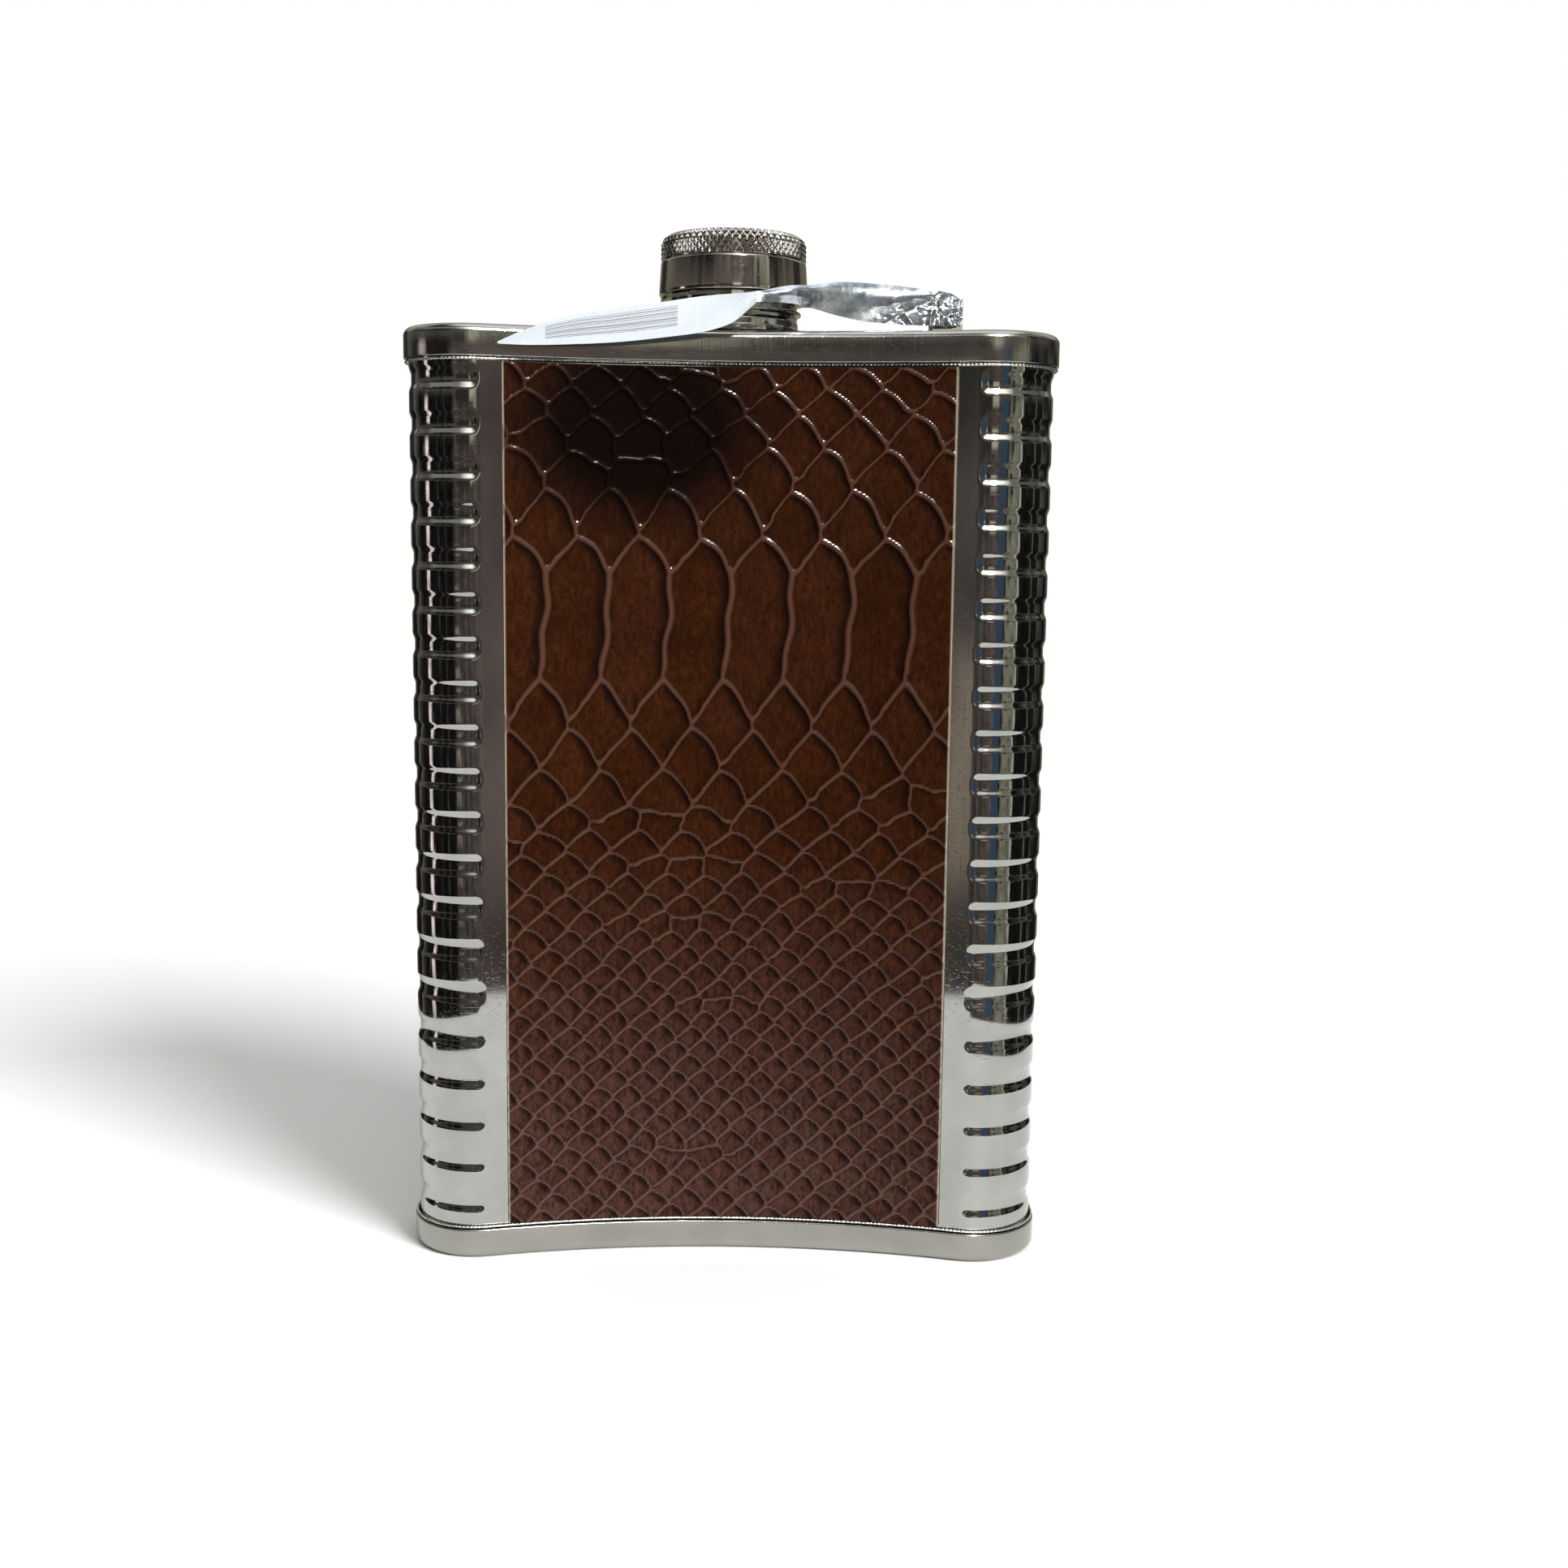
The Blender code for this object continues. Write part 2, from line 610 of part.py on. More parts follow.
def make_tag(parts, paper, film):
    """Blank label hanging in front of the neck, and its clear tail along the arm."""
    label = [(-32.5, -13.5, 133.6, 0.0, 133.9), (-28.0, -13.3, 133.5, 0.5, 135.9),
             (-22.0, -13.0, 133.7, 1.0, 137.8), (-16.0, -12.6, 134.1, 1.2, 138.8),
             (-10.0, -12.2, 134.8, 1.2, 139.8), (-4.0, -11.8, 135.7, 1.2, 140.8),
             (0.0, -11.5, 137.0, 1.0, 141.2), (3.6, -11.2, 139.9, 0.6, 141.6)]
    sheet_from("price_tag", label, 2, TAG_THICKNESS, parts, paper)
    tail = [(4.4, -10.8, 140.0, 0.4, 142.0), (8.0, -9.8, 140.2, 0.4, 142.6),
            (11.5, -7.8, 140.0, 0.4, 143.2), (15.0, -5.9, 139.5, 0.3, 143.6),
            (19.0, -4.6, 138.8, 0.2, 143.6), (24.0, -3.9, 138.2, 0.1, 143.2),
            (29.0, -3.5, 138.0, 0.0, 142.9), (32.8, -3.3, 138.3, 0.0, 142.4)]
    sheet_from("tag_tail", tail, 2, TAIL_THICKNESS, parts, film)


# ------------------------------------------------------------------ assembly

def axis_empty(name, position, parent=None):
    empty = bpy.data.objects.new(name, None)
    empty.empty_display_size = 5 * MM
    empty.location = position
    bpy.context.scene.collection.objects.link(empty)
    if parent:
        hold(empty, parent)
    return empty


def hold(item, empty):
    """Parents item to an empty without moving it."""
    bpy.context.view_layer.update()
    item.parent = empty
    item.matrix_parent_inverse = empty.matrix_world.inverted()


def main():
    clear_scene()
    parts = new_collection("hip_flask")
    cutters = new_collection("hip_flask_cutters")

    polished = material("polished_steel", (0.55, 0.54, 0.52), 0.08, 1.0)
    satin = material("satin_steel", (0.52, 0.51, 0.49), 0.25, 1.0)
    weld = material("weld_steel", (0.60, 0.59, 0.57), 0.30, 1.0)
    brown = material("brown_leather", (0.055, 0.022, 0.013), 0.45, 0.0)
    glue = material("glue_film", (0.60, 0.52, 0.35), 0.50, 0.0)
    rubber = material("gasket_rubber", (0.75, 0.74, 0.70), 0.60, 0.0)
    paper = material("label_paper", (0.78, 0.80, 0.84), 0.60, 0.0)
    film = material("clear_film", (0.75, 0.78, 0.80), 0.10, 0.0)

    make_body_shell(parts, polished)
    make_top_cover(parts, cutters, satin)
    make_base_cover(parts, satin)
    seat = SEAM_GAP + BEAD_RADIUS
    make_weld_bead("top_weld_bead", COLLAR_Z - seat, parts, weld)
    make_weld_bead("base_weld_bead", SEAM_Z + seat, parts, weld)
    make_panels(parts, brown, glue)
    make_neck(parts, cutters, satin)
    make_neck_collar(parts, polished)
    make_bracket(parts, cutters, polished)

    make_arm(parts, cutters, polished)
    make_pin(parts, cutters, satin)
    make_tag(parts, paper, film)
    make_retainer(parts, satin)
    make_cap_shell(parts, polished)
    make_cap_liner(parts, cutters, satin)
    make_gasket(parts, rubber)

    arm_axis = axis_empty("arm_axis", (PIN_X, CAP_Y, PIN_Z))
    cap_axis = axis_empty("cap_axis", (0, CAP_Y, CAP_BOTTOM), arm_axis)
    objects = bpy.data.objects
    for name in ("hinge_arm", "arm_ring", "price_tag", "tag_tail"):
        hold(objects[name], arm_axis)
    for name in ("cap_retainer", "cap_shell", "cap_thread_liner", "liner_thread", "cap_gasket"):
        hold(objects[name], cap_axis)


main()
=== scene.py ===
"""Hip flask: fine geometry, materials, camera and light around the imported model."""
import math

import bmesh
import bpy
import numpy as np
from mathutils import Matrix, Vector


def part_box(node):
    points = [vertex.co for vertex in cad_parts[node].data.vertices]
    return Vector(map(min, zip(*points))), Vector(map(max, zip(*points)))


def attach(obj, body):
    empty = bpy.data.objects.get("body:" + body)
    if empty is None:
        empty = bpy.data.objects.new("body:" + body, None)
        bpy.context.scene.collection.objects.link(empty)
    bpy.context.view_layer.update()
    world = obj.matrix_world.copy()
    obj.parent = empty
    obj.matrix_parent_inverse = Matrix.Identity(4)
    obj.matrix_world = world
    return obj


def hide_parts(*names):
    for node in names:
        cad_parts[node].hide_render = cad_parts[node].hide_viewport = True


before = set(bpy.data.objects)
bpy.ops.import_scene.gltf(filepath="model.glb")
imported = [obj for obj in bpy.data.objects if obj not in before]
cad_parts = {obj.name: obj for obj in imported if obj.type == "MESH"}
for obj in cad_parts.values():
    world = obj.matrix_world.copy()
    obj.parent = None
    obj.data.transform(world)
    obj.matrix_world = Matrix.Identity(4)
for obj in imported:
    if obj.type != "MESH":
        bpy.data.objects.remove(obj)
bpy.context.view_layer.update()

MM = 0.001

# Section of the flask: a concave front, a convex back and round ends
END_RADIUS = 10.0 * MM
FRONT_RADIUS = 135.0 * MM
BACK_RADIUS = 155.0 * MM
COVER_LOW, COVER_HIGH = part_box("top_cover")
BASE_LOW, BASE_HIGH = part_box("base_cover")
BODY_LOW, BODY_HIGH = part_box("body_shell")
HALF_WIDTH = COVER_HIGH.x
HORN_Y = COVER_LOW.y
BACK_Y = COVER_HIGH.y
END_X = HALF_WIDTH - END_RADIUS
SHEET = 0.4 * MM
COVER_EDGE = 1.2 * MM
LIP = 0.19 * MM  # roundness of a cover's rim
OUTLINE_STEP = 1.0 * MM
BODY_INSET = HALF_WIDTH - BODY_HIGH.x
BODY_WALL = 0.8 * MM
PANEL_PROUD = 0.2 * MM  # leather beyond the nominal section
PANEL_THICKNESS = 0.5 * MM
RELIEF = 0.3 * MM

# Grooves pressed round the narrow sides, with the soft edges of pressed sheet
RIB_COUNT = 20
RIB_PITCH = 6.35 * MM
RIB_HEIGHT = 3.7 * MM
RIB_DEPTH = 0.34 * MM
RIB_RAMP = 1.3 * MM
RIB_CORNER = 1.45 * MM
RIB_TOP_MIDDLE = 129.2 * MM
RIB_END_X = 35.0 * MM

# Cap and neck, the cap partly from the box of its node
CAP_LOW, CAP_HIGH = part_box("cap_shell")
CAP_Y = (CAP_LOW.y + CAP_HIGH.y) / 2
CAP_FOOT = CAP_HIGH.x
NECK_BORE = 7.8 * MM
CAP_BORE = 9.05 * MM
CAP_CEILING = 149.3 * MM
KNURL_FOOT = 147.2 * MM


# ---- mesh helpers

def ease(low, high, value):
    """0 below low, 1 above high, smooth between."""
    t = np.clip((value - low) / (high - low), 0.0, 1.0)
    return t * t * (3 - 2 * t)


def grid_faces(rows, columns, wrap=False):
    """Quads of a grid whose rows follow one another; wrap joins the last column to the first."""
    i, j = np.meshgrid(np.arange(rows - 1), np.arange(columns if wrap else columns - 1), indexing="ij")
    k = (j + 1) % columns
    quads = np.stack([i * columns + j, i * columns + k, (i + 1) * columns + k, (i + 1) * columns + j], -1)
    return quads.reshape(-1, 4).tolist()


def ring(x, y, z):
    """The points x, y at one height z."""
    return np.stack([x, y, np.full(len(x), z)], -1)


def circle(radius, z, angles):
    """Ring about the neck's axis."""
    return ring(radius * np.cos(angles), CAP_Y + radius * np.sin(angles), z)


def turns(steps):
    """Even angles of a full turn."""
    return np.linspace(0, 2 * math.pi, steps, endpoint=False)


def mesh_from(name, bm):
    bmesh.ops.recalc_face_normals(bm, faces=bm.faces)
    mesh = bpy.data.meshes.new(name)
    bm.to_mesh(mesh)
    bm.free()
    return mesh


def link_object(name, data):
    made = bpy.data.objects.new(name, data)
    bpy.context.scene.collection.objects.link(made)
    return made


def finish_piece(name, mesh, mat, body, slot, nodes, sharp=None):
    """Piece on a body in place of CAD nodes; edges turning by more than sharp degrees stay sharp."""
    mesh.materials.append(mat)
    mesh.shade_smooth()
    if sharp:
        mesh.set_sharp_from_angle(angle=math.radians(sharp))
    piece = link_object(name, mesh)
    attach(piece, body)
    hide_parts(*nodes)
    return piece


def add_piece(name, points, faces, *finish, sharp=None):
    mesh = bpy.data.meshes.new(name)
    mesh.from_pydata(np.asarray(points).reshape(-1, 3).tolist(), [], faces)
    mesh.validate()
    return finish_piece(name, mesh, *finish, sharp=sharp)


def point_attribute(piece, name, values):
    attribute = piece.data.attributes.new(name, 'FLOAT', 'POINT')
    attribute.data.foreach_set("value", np.asarray(values, np.float32).ravel())


# ---- section of the flask

class Section:
    """The kidney outline by its length, from the front centre round the +X end to the back centre."""

    def __init__(self):
        reach = FRONT_RADIUS + END_RADIUS
        self.front_y = HORN_Y + END_RADIUS - math.sqrt(reach ** 2 - END_X ** 2)
        self.back_y = BACK_Y - BACK_RADIUS
        self.front_tilt = math.asin(END_X / reach)
        self.back_tilt = math.asin(END_X / (BACK_RADIUS - END_RADIUS))
        self.end_y = HORN_Y + END_RADIUS
        self.rear_y = self.back_y + math.sqrt((BACK_RADIUS - END_RADIUS) ** 2 - END_X ** 2)
        lengths = [FRONT_RADIUS * self.front_tilt, END_RADIUS * (math.pi / 2 + self.front_tilt),
                   self.rear_y - self.end_y, END_RADIUS * (math.pi / 2 - self.back_tilt),
                   BACK_RADIUS * self.back_tilt]
        self.stops = np.concatenate([[0.0], np.cumsum(lengths)])
        self.length = self.stops[-1]

    def at(self, s, offset=0.0):
        """(x, y) on the +X half at length s, moved outwards by offset."""
        s = np.clip(np.asarray(s, float), 0.0, self.length)
        offset = np.broadcast_to(offset, s.shape)
        a, b, c, d, _ = self.stops[1:]
        half = math.pi / 2
        front = half - s / FRONT_RADIUS
        corner = -half - self.front_tilt + (s - a) / END_RADIUS
        rear = (s - c) / END_RADIUS
        back = half - self.back_tilt + (s - d) / BACK_RADIUS
        zones = [s <= a, s <= b, s <= c, s <= d, s > d]
        x = np.select(zones, [
            (FRONT_RADIUS - offset) * np.cos(front), END_X + (END_RADIUS + offset) * np.cos(corner),
            END_X + END_RADIUS + offset, END_X + (END_RADIUS + offset) * np.cos(rear),
            (BACK_RADIUS + offset) * np.cos(back)])
        y = np.select(zones, [
            self.front_y + (FRONT_RADIUS - offset) * np.sin(front),
            self.end_y + (END_RADIUS + offset) * np.sin(corner), self.end_y + (s - b),
            self.rear_y + (END_RADIUS + offset) * np.sin(rear),
            self.back_y + (BACK_RADIUS + offset) * np.sin(back)])
        return x, y

    def loop(self, s, offset=0.0):
        """Closed outline through the lengths s on both halves, counter-clockwise from the front centre."""
        offset = np.broadcast_to(offset, np.shape(s))
        x, y = self.at(s, offset)
        return np.concatenate([x, -x[-2:0:-1]]), np.concatenate([y, y[-2:0:-1]])

    def even(self, spacing):
        """Lengths every spacing or less, through every change of curvature."""
        runs = [np.linspace(p, q, max(2, math.ceil((q - p) / spacing)) + 1)[:-1]
                for p, q in zip(self.stops, self.stops[1:])]
        return np.concatenate(runs + [[self.length]])


SECTION = Section()


# ---- steel body and covers

def rib_span():
    """Where the grooves start and end, as lengths along the section."""
    a, _, _, _, end = SECTION.stops[1:]
    start = a + END_RADIUS * (SECTION.front_tilt - math.asin((END_X - RIB_END_X) / END_RADIUS))
    return start, end - BACK_RADIUS * math.asin(RIB_END_X / BACK_RADIUS)


def rib_sink(s, z):
    """Depth of the groove at length s and height z, from 0 to 1, with round corners."""
    start, stop = rib_span()
    along = np.abs(s - (start + stop) / 2) - (stop - start) / 2 + RIB_CORNER
    phase = (z - RIB_TOP_MIDDLE) / RIB_PITCH
    index = np.clip(np.round(phase), 1 - RIB_COUNT, 0)
    up = np.abs(phase - index) * RIB_PITCH - RIB_HEIGHT / 2 + RIB_CORNER
    outside = np.hypot(np.maximum(along, 0), np.maximum(up, 0))
    distance = outside + np.minimum(np.maximum(along, up), 0) - RIB_CORNER
    return ease(0.0, RIB_RAMP, -distance)


def make_body(mat):
    start, stop = rib_span()
    fine = 8
    margin = RIB_CORNER + RIB_RAMP
    side_spacing = 0.65 * MM
    past = 0.2 * MM
    lengths = np.concatenate([
        np.linspace(0, start - past, 10)[:-1],
        np.linspace(start - past, start + margin, 2 * fine)[:-1],
        np.arange(start + margin, stop - margin, side_spacing),
        np.linspace(stop - margin, stop + past, 2 * fine)[:-1],
        np.linspace(stop + past, SECTION.length, 10)])
    heights = [BODY_LOW.z]
    for i in reversed(range(RIB_COUNT)):
        middle = RIB_TOP_MIDDLE - i * RIB_PITCH
        low, high = middle - RIB_HEIGHT / 2, middle + RIB_HEIGHT / 2
        heights += list(np.linspace(low - 0.05 * MM, low + RIB_RAMP, fine))
        heights += [middle]
        heights += list(np.linspace(high - RIB_RAMP, high + 0.05 * MM, fine))
    heights = np.array(heights + [BODY_HIGH.z])
    columns = 2 * len(lengths) - 2
    rows = [ring(*SECTION.loop(lengths, -BODY_INSET - RIB_DEPTH * rib_sink(lengths, z)), z)
            for z in heights]
    rows += [ring(*SECTION.loop(lengths, -BODY_INSET - BODY_WALL), z) for z in (BODY_HIGH.z, BODY_LOW.z)]
    faces = grid_faces(len(rows), columns, wrap=True)
    last = (len(rows) - 1) * columns
    faces += [[last + j, last + (j + 1) % columns, (j + 1) % columns, j] for j in range(columns)]
    add_piece("flask_body", rows, faces, mat, "flask", "polished_steel", ["body_shell"], sharp=60)


def cover_rows(levels):
    """Rings of the outline, one for each (offset, height)."""
    lengths = SECTION.even(OUTLINE_STEP)
    return [ring(*SECTION.loop(lengths, offset), z) for offset, z in levels]


def rounded(offset, z, radius, start, end, steps=5):
    """(offset, height) points round a corner centred at offset, z; angles in degrees from outwards."""
    angles = np.radians(np.linspace(start, end, steps))
    return [(offset + radius * math.cos(a), z + radius * math.sin(a)) for a in angles]


def make_base_cover(mat):
    top = BASE_HIGH.z
    levels = rounded(-COVER_EDGE, COVER_EDGE, COVER_EDGE, -90, 0, 10)
    levels += rounded(-LIP, top - LIP, LIP, 0, 90)
    levels += rounded(-SHEET + LIP, top - LIP, LIP, 90, 180)[1:]
    levels += rounded(-COVER_EDGE, COVER_EDGE, COVER_EDGE - SHEET, 0, -90, 6)
    rows = cover_rows(levels)
    columns = len(rows[0])
    faces = grid_faces(len(rows), columns, wrap=True)
    faces.append(list(range(columns))[::-1])
    faces.append([(len(rows) - 1) * columns + j for j in range(columns)])
    add_piece("cover_base", rows, faces, mat, "flask", "satin_steel", ["base_cover"], sharp=60)


def make_top_cover(mat):
    low, high = COVER_LOW.z, COVER_HIGH.z
    levels = rounded(-COVER_EDGE, high - SHEET - (COVER_EDGE - SHEET), COVER_EDGE - SHEET, 90, 0, 6)
    levels += rounded(-SHEET + LIP, low + LIP, LIP, 180, 270)
    levels += rounded(-LIP, low + LIP, LIP, 270, 360)[1:]
    levels += rounded(-COVER_EDGE, high - COVER_EDGE, COVER_EDGE, 0, 90, 12)
    rows = cover_rows(levels)
    columns = len(rows[0])
    steps = 96
    angles = turns(steps) - math.pi / 2
    circles = [circle(NECK_BORE, z, angles) for z in (high - SHEET, high)]
    bm = bmesh.new()
    rings = [[bm.verts.new(p) for p in row] for row in rows + circles]
    for one, two in zip(rings[:-2], rings[1:-2]):
        for j in range(columns):
            k = (j + 1) % columns
            bm.faces.new((one[j], one[k], two[k], two[j]))
    for j in range(steps):
        k = (j + 1) % steps
        bm.faces.new((rings[-2][j], rings[-1][j], rings[-1][k], rings[-2][k]))
    bm.edges.ensure_lookup_table()
    for outline, hole in ((rings[0], rings[-2]), (rings[-3], rings[-1])):
        edges = [bm.edges.get((loop[j], loop[(j + 1) % len(loop)])) for loop in (outline, hole)
                 for j in range(len(loop))]
        bmesh.ops.bridge_loops(bm, edges=edges)
    finish_piece("cover_top", mesh_from("cover_top", bm), mat, "flask", "satin_steel", ["top_cover"], 40)


def make_weld(name, node, mat, seed):
    """Bead laid round the body in small overlapping drops."""
    low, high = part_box(node)
    radius = (high.z - low.z) / 2
    centre_z = (low.z + high.z) / 2
    offset = high.x - HALF_WIDTH - radius
    drop = 0.6 * MM
    spacing = drop / 5
    count = int(2 * SECTION.length / spacing)
    rng = np.random.default_rng(seed)
    sides = 8
    s = np.arange(count) * 2 * SECTION.length / count
    mirrored = s > SECTION.length
    half = np.where(mirrored, 2 * SECTION.length - s, s)
    swell = np.abs(np.cos(math.pi * s / drop)) ** 0.6
    size = rng.uniform(0.75, 1.0, int(2 * SECTION.length / drop) + 2)
    drops = size[np.round(s / drop).astype(int)]
    thick = radius * (0.55 + 0.45 * swell * drops)
    rows = []
    for k in range(sides):
        angle = 2 * math.pi * k / sides
        x, y = SECTION.at(half, offset + thick * math.cos(angle))
        x = np.where(mirrored, -x, x)
        rows.append(np.stack([x, y, centre_z + thick * math.sin(angle)], -1))
    points = np.stack(rows, 1)
    points = np.concatenate([points, points[:1]])
    faces = grid_faces(count + 1, sides, wrap=True)
    faces = [[(v if v < count * sides else v - count * sides) for v in f][::-1] for f in faces]
    add_piece(name, points[:-1], faces, mat, "flask", "weld_steel", [node])


# ---- leather

# Depth below the panel's top edge, gap between rows of scales and pitch along a row, in mm
SCALE_ZONES = [(0.0, 3.2, 6.4), (4.5, 3.7, 6.8), (8.4, 4.2, 7.8), (13.2, 5.4, 8.5), (19.5, 7.0, 8.8),
               (29.3, 6.3, 8.8), (43.4, 8.1, 8.8), (54.4, 6.3, 8.7), (60.5, 4.9, 8.0), (67.0, 3.4, 6.9),
               (75.0, 2.9, 6.0), (82.0, 2.6, 5.1), (95.0, 2.3, 4.4), (112.0, 2.3, 4.5), (127.0, 2.5, 4.9)]
LONG_TOP = 29.3  # the long scales' straight sides run from here ...
LONG_END = 43.4  # ... to here
LONG_X = 0.6  # one of their ridges, from the panel's middle
LONG_DRIFT = 1.1  # how far their lower ends curve to the left
RELAXING = 5  # rounds of evening out after a row has gained or lost a scale
ROW_STEP = 0.56  # a row's gap in the measure that shapes the scales, in pitches
BOW_EDGE = math.cos(math.radians(62))  # a scale's bowed side: where it starts ...
BOW_FULL = math.cos(math.radians(28))  # ... and where it is bowed fully
LEATHER_STEP = 0.31 * MM
FRONT_SEED, BACK_SEED = 139, 23  # of the scales' random splits and waves
SPARE = 8.0  # how far rows are grown past the panel's sides
DEPTH_STEP = 0.1
DEPTHS = np.arange(-12.0, 140.0, DEPTH_STEP)  # from above the panel to below it, in mm
# Half width of a ridge at a depth below the panel's top edge, in mm
RIDGE_WIDTHS = [(0.0, 0.42), (20.0, 0.48), (28.0, 0.56), (44.0, 0.56), (52.0, 0.42), (62.0, 0.37),
                (80.0, 0.34), (130.0, 0.31)]


def at_depth(table, depth, column=1):
    """Value of a table's column at a depth, between its stations."""
    stations = np.array(table)
    return np.interp(depth, stations[:, 0], stations[:, column])


def row_coordinate(depth):
    """Row number at a depth in mm: 0 all along the long scales, negative above, positive below."""
    rate = 1 / at_depth(SCALE_ZONES, DEPTHS)
    rate[(DEPTHS > LONG_TOP) & (DEPTHS < LONG_END)] = 0.0
    total = np.cumsum(rate) * DEPTH_STEP
    total -= np.interp((LONG_TOP + LONG_END) / 2, DEPTHS, total)
    return np.interp(depth, DEPTHS, total)


def next_row(row, pitch, reach, rng):
    """Centres of the next row: between the last row's, with one split or merged where the pitch asks."""
    middles = [(a + b) / 2 for a, b in zip(row, row[1:])]
    while middles[0] > -reach:
        middles.insert(0, middles[0] - pitch)
    while middles[-1] < reach:
        middles.append(middles[-1] + pitch)
    centres = [x for x in middles if abs(x) < reach + pitch]
    wanted = round((centres[-1] - centres[0]) / pitch) + 1
    while len(centres) < wanted:
        gaps = np.diff(centres) + rng.uniform(0, 0.25 * pitch, len(centres) - 1)
        widest = int(np.argmax(gaps))
        centres.insert(widest + 1, (centres[widest] + centres[widest + 1]) / 2)
    while len(centres) > wanted:
        around = np.array(centres[2:]) - np.array(centres[:-2])
        jitter = rng.uniform(0, 0.25 * pitch, len(around))
        centres.pop(int(np.argmin(around + jitter)) + 1)
    for _ in range(RELAXING):
        inner = [0.5 * b + 0.25 * (a + c) for a, b, c in zip(centres, centres[1:], centres[2:])]
        centres = [centres[0]] + inner + [centres[-1]]
    return [x + rng.uniform(-0.03, 0.03) * pitch for x in centres]


def scale_centres(half_width, depth, rng):
    """{row number: centres in mm}, grown upwards and downwards from the long scales."""
    rows_at = row_coordinate(DEPTHS)
    reach = half_width + SPARE
    long_pitch = at_depth(SCALE_ZONES, LONG_TOP, 2)
    count = math.ceil(reach / long_pitch)
    first = [LONG_X + long_pitch * (j + 0.5) for j in range(-count - 1, count + 1)]
    rows = {0: first}
    for step, last in ((-1, math.floor(row_coordinate(-6.0))), (1, math.ceil(row_coordinate(depth + 6.0)))):
        for k in range(step, last + step, step):
            pitch = at_depth(SCALE_ZONES, np.interp(k, rows_at, DEPTHS), 2)
            rows[k] = next_row(rows[k - step], pitch, reach, rng)
    return rows


def gauge(right, up):
    """Distance from a scale's centre that gives ridges bowed towards the upper right."""
    length = np.hypot(right, up) + 1e-9
    towards = -(right + up) / (math.sqrt(2) * length)
    flat = ease(BOW_EDGE, BOW_FULL, towards)
    return length * (1 - flat * (1 - towards))


def ridge_field(x, depth, half_width, total, seed):
    """(gap to the next scale, shade of the scale) at x and depth in mm; the gap is 0 on a ridge's crest."""
    rng = np.random.default_rng(seed)
    rows = scale_centres(half_width, total, rng)
    wave = 0.13 * np.sin(0.9 * depth + 0.31 * x + seed)
    wave += 0.16 * np.sin(0.43 * x - 0.52 * depth + 2.0 * seed)
    sway = 0.20 * np.sin(0.71 * x + 0.37 * depth + 1.3 * seed)
    drift = LONG_DRIFT * ease(LONG_TOP + 4.0, LONG_END + 4.0, depth)
    px, pd = x + wave + drift, depth + sway
    row = row_coordinate(pd)
    pitch = at_depth(SCALE_ZONES, pd, 2)
    first = np.full(x.shape, 9.0)
    second = np.full(x.shape, 9.0)
    tone = np.zeros(x.shape)
    for k in sorted(rows):
        for centre in rows[k]:
            reach = gauge((px - centre) / pitch, (k - row) * ROW_STEP)
            closer = reach < first
            second = np.where(closer, first, np.minimum(second, reach))
            first = np.where(closer, reach, first)
            tone[closer] = rng.uniform()
    return second - first, tone


def crest_slope(gap, step_x, step_z):
    """Steepness of the gap near each point, the largest of the neighbours, so that a crest isn't pitted."""
    slope_z, slope_x = np.gradient(gap, step_z, step_x)
    slope = np.hypot(slope_x, slope_z)
    for shift in (-1, 1):
        for axis in (0, 1):
            slope = np.maximum(slope, np.roll(slope, shift, axis))
    return slope, slope_x, slope_z


